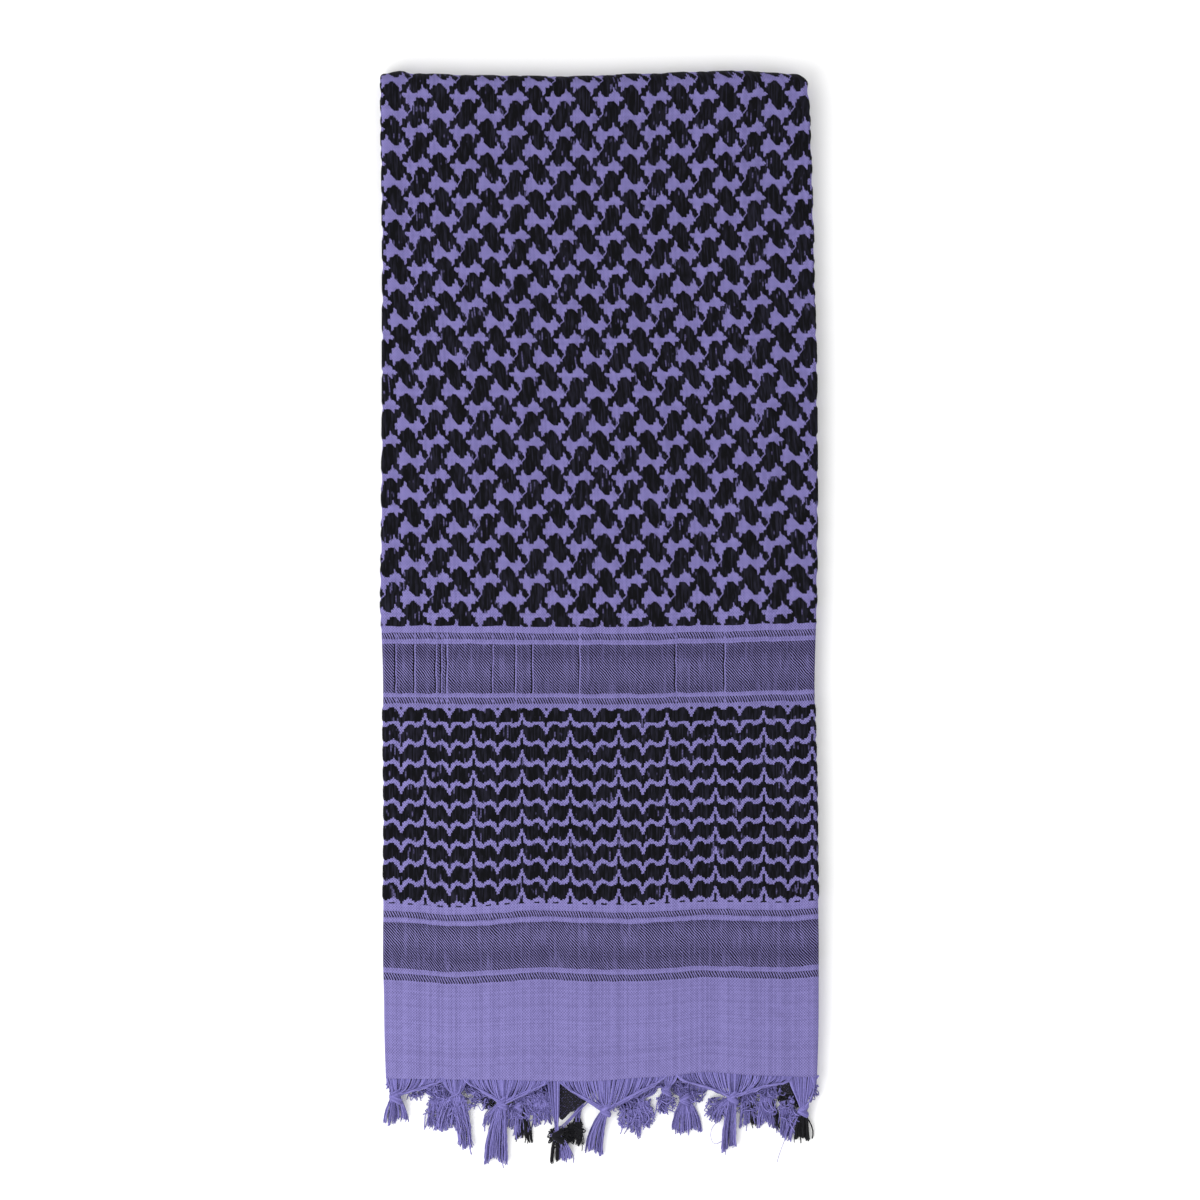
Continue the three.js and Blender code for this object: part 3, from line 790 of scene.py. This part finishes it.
def sleeve_columns():
    """Round the sleeve: a side (-1 to 1 across the flat) and an angle round its folds."""
    top = [(share, 0.0) for share in steps_between(-1, 1, SLEEVE_FLAT_STEPS)]
    right = [(1.0, angle) for angle in steps_between(0, math.pi, SLEEVE_TURN_STEPS)]
    below = [(share, math.pi) for share in steps_between(1, -1, SLEEVE_FLAT_STEPS)]
    left = [(-1.0, angle) for angle in steps_between(math.pi, 0, SLEEVE_TURN_STEPS)]
    return top + right + below + left + [(-1.0, 0.0)]


def sleeve_place(share, angle, along):
    y, turn = path_row(along)
    radius = SLEEVE_HEIGHT / 2
    side = math.copysign(1, share)
    wander = noise.noise(Vector((y / 37, side * 9, turn * 4)))
    wander += 0.4 * noise.noise(Vector((y / 9, side * 3, turn * 4)))
    inset = SLEEVE_INSET + SLEEVE_WANDER * wander + radius
    left, right = left_at(y) + inset, right_at(y) - inset
    x = left + (right - left) * (share + 1) / 2
    x += side * radius * math.sin(angle) if abs(share) == 1 else 0.0
    depth = SLEEVE_DEPTH + radius * (1 - math.cos(angle))
    row_y = HEM_Y + along if along < BELOW else y
    u = x + side * angle * radius + SLEEVE_SHIFT["u"]
    return place(x, along, depth, hem_wave=0.0), (u, row_y + SLEEVE_SHIFT["v"])


sleeve_sides = sleeve_columns()
sleeve_end = BELOW + FOLD_Y - BACK_HEM_Y - SLEEVE_HEM_GAP
sleeve_rows = steps_between(SLEEVE_HEM_GAP, FRONT_RUN, 150)
sleeve_rows += steps_between(FRONT_RUN, BELOW, 10)
sleeve_rows += steps_between(BELOW, sleeve_end, 150) + [sleeve_end]
sleeve = cloth_sheet(
    "hidden_sleeve", len(sleeve_sides) - 1, len(sleeve_rows) - 1,
    lambda c, r: sleeve_place(*sleeve_sides[c], sleeve_rows[r]), face_cotton)

# %% [markdown]
# One hidden layer reaches past the front hem with its reverse side up. It shows as black cloth
# between the tassels, most of all in one corner that hangs out.

# %% The next layer's hem
SECOND_REACH = [
    dict(x=-112, y=-242.0),
    dict(x=-60, y=-242.5),
    dict(x=-25, y=-243.5),
    dict(x=-22, y=-255.0),
    dict(x=-20.5, y=-262.0),
    dict(x=-14, y=-257.0),
    dict(x=-7.5, y=-252.5),
    dict(x=-4, y=-247.0),
    dict(x=4, y=-243.5),
    dict(x=60, y=-241.5),
    dict(x=88, y=-242.0),
    dict(x=95, y=-248.0),
    dict(x=114, y=-247.0),
]
SECOND_START_Y = -206.0
SECOND_BEND_Y = -236.0
SECOND_END_Z = 3.6
SECOND_INSET = 4.0
SECOND_DEPTH = 1.4
SECOND_COLUMNS, SECOND_ROWS = 150, 26


def second_place(column, row):
    left, right = left_at(SECOND_START_Y) + SECOND_INSET, right_at(SECOND_START_Y) - SECOND_INSET
    x = left + (right - left) * column / SECOND_COLUMNS
    end_y = eased(SECOND_REACH, "x", x, "y")
    y = end_y + (SECOND_START_Y - end_y) * row / SECOND_ROWS
    fall = smooth((SECOND_BEND_Y - y) / max(6.0, SECOND_BEND_Y - end_y))
    covered = place(x, max(0.0, max(y, SECOND_BEND_Y) - HEM_Y), SECOND_DEPTH, hem_wave=0.0).z
    ripple = 0.4 * fall * noise.noise(Vector((x / 7, y / 9, 2.0)))
    return Vector((x, y, covered + (SECOND_END_Z - covered) * fall + ripple)), (x, y)


second = cloth_sheet(
    "second_hem_cloth", SECOND_COLUMNS, SECOND_ROWS, second_place, reverse_cotton, body_rise=0.0)

# %% [markdown]
# The fringe is the warp itself: two-ply cotton yarns, lilac with some black, left long and
# knotted in bunches. Dull fibres scatter light, so the yarn is rough with a little sheen, and
# every strand takes a slightly different tone of its dye.

# %% Fringe yarn


def fringe_yarn(name, deep, pale):
    material, tree = new_material(name)
    place_at = add(tree, "ShaderNodeTexCoord", out="Object")
    fibre = add(tree, "ShaderNodeTexNoise", {"Vector": place_at, "Scale": 1300.0, "Detail": 3.0})
    strand_tone = add(tree, "ShaderNodeNewGeometry", out="Random Per Island")
    tone = add(tree, MATH, (strand_tone, 0.7, -0.2), operation="MULTIPLY_ADD")
    tone = add(tree, MATH, (fibre, 0.9, tone), operation="MULTIPLY_ADD")
    colour = add(tree, "ShaderNodeMixRGB", (tone, linear(deep), linear(pale)))
    bump = add(tree, "ShaderNodeBump", {"Strength": 0.5, "Distance": 0.15 * MM, "Height": fibre})
    shader = add(tree, "ShaderNodeBsdfPrincipled", {
        "Base Color": colour, "Roughness": 0.85, "Specular IOR Level": 0.14,
        "Sheen Weight": 0.08, "Sheen Roughness": 0.45, "Normal": bump,
    })
    add(tree, "ShaderNodeOutputMaterial", {"Surface": shader})
    return material


lilac_yarn = fringe_yarn("two-ply cotton yarn, dyed lilac", "#454074", "#827BBA")
black_yarn = fringe_yarn("two-ply cotton yarn, dyed black", "#060609", "#15151B")
YARN_SLOTS = {"lilac": 0, "black": 1}
print("yarns:", lilac_yarn.name, "and", black_yarn.name)

# %% [markdown]
# Each tassel gathers the warp ends of a stretch of hem, from its left to its right. They slant
# into a bundle that runs along under the hem, meet in a knot at x and y, and open again into
# tails. Knot is the knot's size, 0 for none, pinch is how far apart the yarns lie there, and
# mess is how far they wave. A tail is its end's x and y, its width, how many yarns it has and
# their colour. Bundles are thick ropes on top, given by the points that they pass. Some ends
# missed the knot and lie in curls, inside an oval with its middle, width, height, yarns and
# colour. A few stray alone, with a colour, a thickness and points. A dark tassel is tied with
# black yarn. The front hem's row lies on top.

# %% The front hem's tassels
FRONT_TASSELS = [
    dict(left=-111.6, right=-83, x=-106.6, y=-248.8, knot=1.2, pinch=2.2, mess=0.8,
         bundles=[[(-82.5, -241.2), (-88, -242.4), (-94, -244.4), (-100, -246.6), (-105.5, -248.4)]],
         tails=[(-106.6, -264.2, 14.5, 62, "lilac")],
         curls=[(-108.0, -243.5, 7, 8, 12, "lilac"), (-97.0, -247.5, 12, 5, 12, "lilac"),
                (-85.5, -243.8, 13, 6, 24, "lilac")]),
    dict(left=-83, right=-69, x=-75.0, y=-250.0, knot=0, pinch=5.0, mess=1.4,
         tails=[(-70.3, -276.5, 8.0, 40, "lilac"), (-80.0, -267.0, 12.0, 34, "lilac")],
         curls=[(-74.0, -256.0, 14, 14, 24, "lilac"), (-68.0, -244.0, 12, 7, 24, "lilac")]),
    dict(left=-69, right=-27.5, x=-50.9, y=-252.5, knot=1.05, pinch=2.0, mess=0.8,
         bundles=[[(-70, -241.2), (-65, -243.8), (-60, -246.6), (-52, -251.8)],
                  [(-27, -241.8), (-32, -243.6), (-38, -246.2), (-49.5, -251.8)]],
         tails=[(-57.5, -267.5, 9.0, 30, "lilac"), (-54.4, -284.8, 13.5, 74, "lilac")],
         curls=[(-47.0, -256.0, 8, 7, 10, "lilac"), (-61.5, -251.0, 12, 12, 34, "lilac"),
                (-58.5, -252.0, 7, 5, 8, "black")]),
    dict(left=-27.5, right=-20.5, x=-21.8, y=-269.8, knot=1.1, pinch=2.0, mess=0.6, dark=True,
         tails=[(-23.6, -286.4, 5.5, 30, "black"), (-17.6, -283.4, 7.0, 30, "lilac")],
         curls=[(-20.8, -271.0, 11.5, 10.5, 36, "black"), (-28.0, -244.5, 10, 8, 22, "lilac"),
                (-23.2, -269.8, 3.4, 4.0, 8, "lilac")],
         strays=[
             ("lilac", 0.9, [(-5.5, -251.5, 3.4), (-10, -256, 3.2), (-16, -262.5, 3.6), (-22, -268.5, 4.4)]),
             ("lilac", 0.9, [(-6.5, -250.5, 3.2), (-12, -257, 3.2), (-17, -264, 3.6), (-23, -269.5, 5)]),
             ("lilac", 0.9, [(-8.5, -251.5, 3), (-13, -259, 3), (-19, -264.5, 3.6), (-24, -268, 4)])]),
    dict(left=-20.5, right=33.5, x=3.2, y=-256.2, knot=1.0, pinch=1.9, mess=0.6,
         bundles=[[(-20, -242.2), (-14, -246), (-8, -249.8), (1.5, -255.6)],
                  [(34, -240.2), (27, -242.6), (20, -246.4), (13, -250.6), (5, -255.4)]],
         tails=[(-2.6, -280.4, 8.5, 60, "lilac")],
         curls=[(12.0, -253.5, 12, 5, 12, "lilac"), (31.0, -242.0, 9, 6, 14, "lilac")]),
    dict(left=33.5, right=41.5, x=35.0, y=-245.4, knot=0.95, pinch=1.8, mess=0.9,
         tails=[(33.0, -258.5, 6.0, 16, "lilac")],
         curls=[(34.8, -253.0, 10, 10, 22, "lilac")]),
    dict(left=41.5, right=98.5, x=69.8, y=-249.6, knot=1.05, pinch=2.2, mess=0.8,
         bundles=[[(41.5, -240), (48, -241.6), (55, -243.4), (62, -246), (68, -248.6)],
                  [(99.5, -241.6), (92, -242.4), (85, -243.4), (78, -245.6), (71.5, -248.6)]],
         tails=[(60.6, -263.0, 11.5, 44, "lilac"), (67.6, -278.4, 8.5, 60, "lilac")],
         curls=[(61.0, -255.0, 11, 11, 18, "lilac"), (77.0, -249.0, 11, 6, 16, "lilac"),
                (90.0, -245.0, 17, 7, 40, "lilac"), (43.0, -242.0, 8, 5, 12, "lilac")],
         strays=[
             ("lilac", 0.4, [(63, -262, 2), (58.4, -264.5, 1.4), (57.4, -271, 1), (60, -276, 0.8),
                             (64, -273, 1)])]),
    dict(left=98.5, right=113.2, x=106.6, y=-256.4, knot=1.0, pinch=2.0, mess=0.5,
         bundles=[[(112.4, -241.2), (112.2, -245), (110.8, -250), (107.5, -255.4)]],
         tails=[(105.8, -273.4, 8.5, 76, "black"), (98.4, -275.0, 6.0, 24, "lilac")],
         curls=[(110.4, -245.5, 6.5, 12, 40, "lilac"), (100.5, -261.0, 6, 14, 20, "lilac")],
         strays=[
             ("lilac", 0.4, [(99, -266, 2), (97, -273, 1), (94, -279, 0.8), (93, -284, 0.6)]),
             ("black", 0.9, [(108.5, -260, 3), (111.6, -264.5, 2), (112.6, -268.5, 1),
                             (111.4, -271.5, 1)])]),
]
print("front tassels:", len(FRONT_TASSELS))

# %% [markdown]
# The lower hem's ends lie on the table, under and between the others. Several of their stretches
# were never knotted tightly and are a loose mass of crimped yarn. Black ends come out in a few
# places, where the black pattern yarns ran out over the hem.

# %% The lower hem's tassels
BACK_TASSELS = [
    dict(left=-93, right=-71, x=-83.0, y=-252.0, knot=0, pinch=6.5, mess=1.3,
         tails=[(-84.0, -268.3, 15.0, 64, "lilac")],
         curls=[(-83.0, -256.0, 16, 15, 34, "lilac")]),
    dict(left=-50, right=-36, x=-42.5, y=-254.5, knot=0.8, pinch=3.0, mess=0.9,
         tails=[(-45.5, -268.5, 9.0, 34, "lilac"), (-39.6, -274.0, 9.5, 46, "black"),
                (-40.6, -272.0, 9.5, 16, "lilac")],
         curls=[(-42.0, -256.5, 13, 10, 26, "lilac"), (-37.4, -248.8, 9, 8, 26, "lilac")]),
    dict(left=-36, right=-24, x=-30.0, y=-253.0, knot=0, pinch=4.5, mess=1.5,
         tails=[(-30.0, -265.5, 11.0, 34, "lilac")],
         curls=[(-29.5, -255.0, 13, 19, 52, "lilac")]),
    dict(left=-16, right=-6, x=-11.6, y=-261.0, knot=0, pinch=1.6, mess=0.9, dark=True,
         tails=[(-12.6, -275.4, 9.0, 40, "black")],
         curls=[(-13.2, -267.4, 9.5, 9.5, 26, "black")]),
    dict(left=7, right=31, x=19.0, y=-252.0, knot=0, pinch=7.0, mess=1.5,
         tails=[(19.0, -268.5, 16.0, 56, "lilac"), (21.0, -274.0, 3.0, 6, "lilac")],
         curls=[(19.0, -259.5, 19, 19, 64, "lilac"), (15.5, -253.5, 10, 5, 14, "black")]),
    dict(left=37, right=57, x=44.8, y=-250.8, knot=1.0, pinch=2.2, mess=0.8,
         tails=[(45.6, -269.4, 17.0, 84, "lilac")],
         curls=[(48.0, -249.5, 14, 6, 18, "lilac")]),
    dict(left=72, right=83, x=77.5, y=-251.0, knot=0, pinch=3.6, mess=1.1,
         tails=[(77.5, -265.8, 10.0, 44, "lilac"), (80.6, -264.6, 3.5, 18, "black")],
         curls=[(77.5, -255.0, 10, 12, 18, "lilac")]),
    dict(left=83, right=94, x=88.0, y=-250.5, knot=0, pinch=4.0, mess=1.1,
         tails=[(87.5, -266.5, 11.0, 50, "lilac"), (92.6, -268.6, 3.0, 14, "black")],
         curls=[(88.0, -254.0, 11, 13, 24, "lilac")]),
    dict(left=94, right=108, x=99.0, y=-252.0, knot=0, pinch=4.0, mess=1.2, dark=True,
         tails=[(97.6, -270.5, 7.0, 40, "lilac")],
         curls=[(100.5, -250.5, 13, 8, 50, "black"), (97.5, -257.0, 7, 12, 18, "lilac")]),
]
print("lower tassels:", len(BACK_TASSELS))

# %% [markdown]
# A yarn is a smooth line through a few points with a thin round section. Where ends have come
# partly unplied, in tails and strays, the line is thinner. All random turns come from one seeded
# generator, so the fringe is the same each time.

# %% One yarn
YARN_RADIUS = 0.37       # mm of a slack two-ply end
YARN_RINGS = 2           # rings of a strand's mesh for each of its points
YARN_PITCH = 0.72        # mm of hem for each yarn
TWIST = 0.5              # radians that a bundle turns in 1 mm
RUN = 4.4                # mm along the hem in which a yarn slants into its bundle
HEM_GAP = 1.8            # mm under the hem at which a bundle starts
BUNDLE_FILL = 0.36       # mm of a bundle's radius for the root of its number of yarns
BUNDLE_STEP = 3.6        # mm between a yarn's points along its bundle
ROPE_RADIUS = 1.45       # mm of a thick bundle that lies over the others
LOCK_WIDTH = 2.4         # mm of one lock of a tail
CRIMP = 2.6              # mm between the bends of a tail's yarn
CURL_STEP = 2.3          # mm between the bends of a curled yarn
STRAY_SHARE = 0.05       # of a tail's yarns that end past the others
draw = random.Random(42)


def laid_yarn(curve, points, colour, thick=1.0, closed=False):
    """Adds one yarn to a curve: a smooth line through its points, in mm."""
    spline = curve.splines.new("NURBS")
    spline.points.add(len(points) - 1)
    for point, at in zip(spline.points, points):
        point.co = (at[0] * MM, at[1] * MM, max(at[2], YARN_RADIUS * thick) * MM, 1.0)
        point.radius = thick
    spline.order_u = 4
    spline.use_endpoint_u = not closed
    spline.use_cyclic_u = closed
    spline.resolution_u = YARN_RINGS
    spline.material_index = YARN_SLOTS[colour]
    spline.use_smooth = True


def gathered_yarn(row, hem, number, count, knot_z):
    """The points of one yarn from the hem, slanting into the bundle that runs to its knot."""
    x0 = row["left"] + (row["right"] - row["left"]) * (number + 0.5) / count
    x0 += draw.uniform(-0.3, 0.3)
    start = hem(x0)
    towards = math.copysign(1.0, row["x"] - x0)
    away = abs(row["x"] - x0)
    reach = max(row["x"] - row["left"] if towards > 0 else row["right"] - row["x"], 1.0)
    top_y, top_z = start.y - HEM_GAP, start.z - 1.4
    spread, turn = math.sqrt(draw.random()), draw.uniform(0, 2 * math.pi)
    own_run = min(0.6 * away, RUN * draw.uniform(0.75, 1.25))

    def in_bundle(left_to_go):
        share = left_to_go / reach
        radius = BUNDLE_FILL * math.sqrt(max(2.0, (reach - left_to_go) / YARN_PITCH)) * spread
        phase = turn + TWIST * (away - left_to_go)
        return (
            row["x"] - towards * left_to_go,
            row["y"] + 1.0 + (top_y - row["y"] - 1.0) * share ** 1.15 + radius * math.cos(phase),
            knot_z + (top_z - knot_z) * share + 0.8 * radius * math.sin(phase),
        )

    join = Vector(in_bundle(away - own_run))
    first = Vector((x0 + towards * 0.25, start.y - 0.9, start.z - 0.1))
    middle = first.lerp(join, 0.5)
    middle += Vector((-0.12 * towards * own_run, -0.25, draw.uniform(-0.2, 0.3)))
    points = [(x0, start.y + 1.2, start.z), first, middle, join]
    steps = round((away - own_run) / BUNDLE_STEP)
    points += [in_bundle((away - own_run) * (1 - k / steps)) for k in range(1, steps)]
    side = draw.uniform(-1, 1)
    points.append((row["x"] + row["pinch"] * side, row["y"] + 0.9, knot_z + draw.uniform(-0.9, 0.9)))
    points.append((row["x"] + row["pinch"] * 0.8 * side, row["y"] - 1.6, knot_z * 0.9))
    return points


def bundled_yarn(bundle, hem, knot_z):
    """The points of one yarn of a thick bundle that lies over the others, from hem to knot."""
    spread, turn = ROPE_RADIUS * math.sqrt(draw.random()), draw.uniform(0, 2 * math.pi)
    start = hem(bundle[0][0])
    points = [(bundle[0][0] + draw.uniform(-2.6, 2.6), start.y + 1.0, start.z)]
    travelled = 0.0
    for k, (x, y) in enumerate(bundle):
        travelled += math.dist(bundle[k - 1], (x, y)) if k else 0.0
        phase = turn + TWIST * travelled
        share = k / (len(bundle) - 1)
        z = (start.z + 0.6) * (1 - share) + (knot_z + 1.0) * share
        points.append((x, y + spread * math.cos(phase), z + 0.7 * spread * math.sin(phase)))
    return points


def tail_yarn(row, tail, number, knot_z):
    """The points of one yarn of a tail: out of its knot, into a lock, to its ragged end."""
    end_x, end_y, width, _, _ = tail
    locks = max(2, round(width / LOCK_WIDTH))
    lock = number % locks
    across = (lock + 0.5) / locks - 0.5
    side = 2 * across + draw.uniform(-0.4, 0.4)
    end_x += width * 0.92 * across + draw.gauss(0, 0.5)
    end_y += 1.5 * math.sin(5.1 * lock + end_y) + 1.2 + abs(draw.gauss(0, 1.3))
    if draw.random() < STRAY_SHARE:
        end_x += draw.uniform(-3, 3)
        end_y -= draw.uniform(1, 3.5)
    start_x, start_y = row["x"] + row["pinch"] * 0.8 * side, row["y"] + 0.4
    waves = max(4, round((start_y - end_y) / CRIMP))
    low = draw.uniform(0.3, 0.7 * knot_z + 0.5)
    flip = draw.choice((-1, 1))
    points = [(start_x, start_y, knot_z)]
    for k in range(1, waves + 1):
        t = k / waves
        wave = flip * (-1) ** k * draw.uniform(0.0, 0.75) * row["mess"]
        points.append((
            start_x + (end_x - start_x) * (1 - (1 - t) ** 1.9) + wave,
            start_y + (end_y - start_y) * t + draw.uniform(-0.5, 0.5) * row["mess"],
            knot_z * 0.9 + (low - knot_z * 0.9) * min(1.0, 1.5 * t) + draw.uniform(-0.3, 0.3),
        ))
    return points


def curled_yarn(curl, top_z):
    """The points of one loose yarn that wanders in curls inside an oval."""
    x, y, width, tall, _, _ = curl
    at_x = x + width * draw.uniform(-0.45, 0.45)
    at_y = y + tall * draw.uniform(0.2, 0.5)
    heading = draw.uniform(-2.6, -0.5)
    points = []
    for _ in range(draw.randint(6, 9)):
        points.append((at_x, at_y, draw.uniform(0.5, top_z)))
        heading += draw.uniform(-1.1, 1.1)
        if math.hypot((at_x - x) / width, (at_y - y) / tall) > 0.5:
            heading = math.atan2(y - at_y, x - at_x) + draw.uniform(-0.9, 0.9)
        at_x += CURL_STEP * math.cos(heading)
        at_y += CURL_STEP * math.sin(heading)
    return points


def knot_turn(row, number, count, knot_z):
    """The points of one turn of yarn round a knot. Half of the turns cross the others."""
    band = number % 2
    lie = (number // 2 + 0.5) / (count // 2) - 0.5
    size = row["knot"] * (1 - 1.3 * lie * lie) + draw.uniform(-0.04, 0.04)
    middle_y = row["y"] + row["knot"] * ((0.9, -1.1)[band] + 3.2 * lie)
    tilt = row["knot"] * (1.5, -1.2)[band]
    ring = [2 * math.pi * k / 8 for k in range(8)]
    return [(
        row["x"] + 3.0 * size * math.cos(angle),
        middle_y + tilt * math.cos(angle),
        knot_z + 1.9 * size * math.sin(angle),
    ) for angle in ring]


print("yarn, mm:", 2 * YARN_RADIUS)

# %% [markdown]
# A tassel is one curve with a line for each yarn, then turned into a mesh: the ends that come out
# of the hem, the turns of the knot, the tails, the curls and the strays. Each is only as long as
# it shows, so nothing is hidden inside a knot but ends.

# %% Tassels from yarns
KNOT_TURNS = 18
BUNDLE_YARNS = 11


def tassel(name, row, hem, knot_z):
    """A tassel as one mesh."""
    curve = bpy.data.curves.new(name, "CURVE")
    curve.dimensions = "3D"
    curve.bevel_depth = YARN_RADIUS * MM
    curve.bevel_resolution = 0
    curve.use_fill_caps = True
    curve.materials.append(lilac_yarn)
    curve.materials.append(black_yarn)
    count = round((row["right"] - row["left"]) / YARN_PITCH)
    for number in range(count):
        laid_yarn(curve, gathered_yarn(row, hem, number, count, knot_z), "lilac")
    for bundle in row.get("bundles", []):
        for _ in range(BUNDLE_YARNS):
            laid_yarn(curve, bundled_yarn(bundle, hem, knot_z), "lilac")
    for tail in row["tails"]:
        yarns, colour = tail[-2:]
        for number in range(yarns):
            laid_yarn(curve, tail_yarn(row, tail, number, knot_z), colour, draw.uniform(0.6, 0.9))
    for curl in row.get("curls", []):
        yarns, colour = curl[-2:]
        for _ in range(yarns):
            laid_yarn(curve, curled_yarn(curl, knot_z + 0.6), colour, draw.uniform(0.6, 1.0))
    for colour, thick, points in row.get("strays", []):
        laid_yarn(curve, points, colour, thick)
    wrap = "black" if row.get("dark") else "lilac"
    for number in range(KNOT_TURNS if row["knot"] else 0):
        laid_yarn(curve, knot_turn(row, number, KNOT_TURNS, knot_z), wrap, 1.05, closed=True)
    shape = bpy.data.objects.new(name + "_lines", curve)
    mesh = bpy.data.meshes.new_from_object(shape)
    bpy.data.objects.remove(shape)
    bpy.data.curves.remove(curve)
    mesh.name = name
    piece = bpy.data.objects.new(name, mesh)
    bpy.context.scene.collection.objects.link(piece)
    mesh.calc_loop_triangles()
    print(name, "hem yarns:", count, "triangles:", len(mesh.loop_triangles))
    return piece


def front_hem_point(x):
    point = outer_place(max(-HALF_FLAT, min(HALF_FLAT, x)), 0.0)[0]
    return Vector((x, point.y, point.z - CLOTH_THICKNESS / 2))


def back_hem_point(x):
    return Vector((x, BACK_HEM_Y, CLOTH_THICKNESS))


FRONT_KNOT_Z, BACK_KNOT_Z = 5.0, 2.2
front_tassels = [
    tassel(f"front_hem_tassel_{k + 1}", row, front_hem_point, FRONT_KNOT_Z)
    for k, row in enumerate(FRONT_TASSELS)
]
back_tassels = [
    tassel(f"lower_hem_tassel_{k + 1}", row, back_hem_point, BACK_KNOT_Z)
    for k, row in enumerate(BACK_TASSELS)
]

# %% [markdown]
# The camera looks straight down on the cloth from far away with a long lens, so the sides of
# the pile hardly show.

# %% The camera
CAMERA_DISTANCE = 3.0    # metres above the cloth
SENSOR_WIDTH = 36.0      # mm
VIEW_WIDTH = 0.6264      # metres across the view at the height of the cloth's face
VIEW_CENTRE = (0.26 * MM, 10.7 * MM, 12 * MM)
camera_data = bpy.data.cameras.new("camera")
camera_data.sensor_width = SENSOR_WIDTH
camera_data.lens = SENSOR_WIDTH * CAMERA_DISTANCE / VIEW_WIDTH
camera_data.clip_end = 100.0
camera = bpy.data.objects.new("camera", camera_data)
camera.location = Vector(VIEW_CENTRE) + Vector((0, 0, CAMERA_DISTANCE))
bpy.context.scene.collection.objects.link(camera)
bpy.context.scene.camera = camera
print("lens, mm:", round(camera_data.lens, 1))

# %% [markdown]
# The studio is nearly shadowless: white walls all round, and one large soft box at the lower
# left that makes the left side bright and leaves the right and the top a little darker. The
# table is matt white, and bright enough to burn out.

# %% The light and the table
world = bpy.data.worlds.new("studio")
world.use_nodes = True
world.node_tree.nodes["Background"].inputs["Color"].default_value = (1.0, 1.0, 1.0, 1.0)
world.node_tree.nodes["Background"].inputs["Strength"].default_value = 1.0
bpy.context.scene.world = world


def soft_light(name, place_at, size, watts):
    """A square soft box at a place, aimed at the middle of the cloth."""
    data = bpy.data.lights.new(name, "AREA")
    data.size = size
    data.energy = watts
    light = bpy.data.objects.new(name, data)
    light.location = place_at
    light.rotation_euler = (-Vector(place_at)).to_track_quat("-Z", "Y").to_euler()
    bpy.context.scene.collection.objects.link(light)


soft_light("key", (-0.75, -0.55, 0.85), 1.2, 14.0)

TABLE_REACH = 8.0        # metres from its middle to its sides
TABLE_GAP = 0.2 * MM     # so that it doesn't touch the cloth
floor_mesh = bmesh.new()
bmesh.ops.create_grid(floor_mesh, x_segments=1, y_segments=1, size=TABLE_REACH)
bmesh.ops.translate(floor_mesh, vec=(0, 0, -TABLE_GAP), verts=floor_mesh.verts)
floor_data = bpy.data.meshes.new("table")
floor_mesh.to_mesh(floor_data)
floor_mesh.free()
floor = bpy.data.objects.new("table", floor_data)
bpy.context.scene.collection.objects.link(floor)
floor_paint, floor_tree = new_material("matt white paint")
floor_shader = add(floor_tree, "ShaderNodeBsdfPrincipled", {
    "Base Color": linear("#F9F9F9"), "Roughness": 0.9, "Specular IOR Level": 0.1})
add(floor_tree, "ShaderNodeOutputMaterial", {"Surface": floor_shader})
floor_data.materials.append(floor_paint)
bpy.context.scene.view_settings.view_transform = "Standard"

# %% [markdown]
# The cloth has no joint, so every piece rides on the root. Each stands in for one solid of the
# imported model, which is hidden.

# %% Riding and replacing
pairs = [(front, "front_panel"), (back, "back_panel")]
pairs += [(sleeve, "folded_layers"), (second, "second_hem")]
pairs += [(piece, f"tassel_front_{k + 1}") for k, piece in enumerate(front_tassels)]
pairs += [(piece, f"tassel_back_{k + 1}") for k, piece in enumerate(back_tassels)]
for piece, node in pairs:
    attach(piece, "root")
    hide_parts(node)
print("pieces:", len(pairs))

# %% [markdown]
# Laid out flat, the cloth is one square with its fringe. What shows of it is built above as four
# sheets of cloth.

# %% The sheets of cloth
print("stretches:", 4)
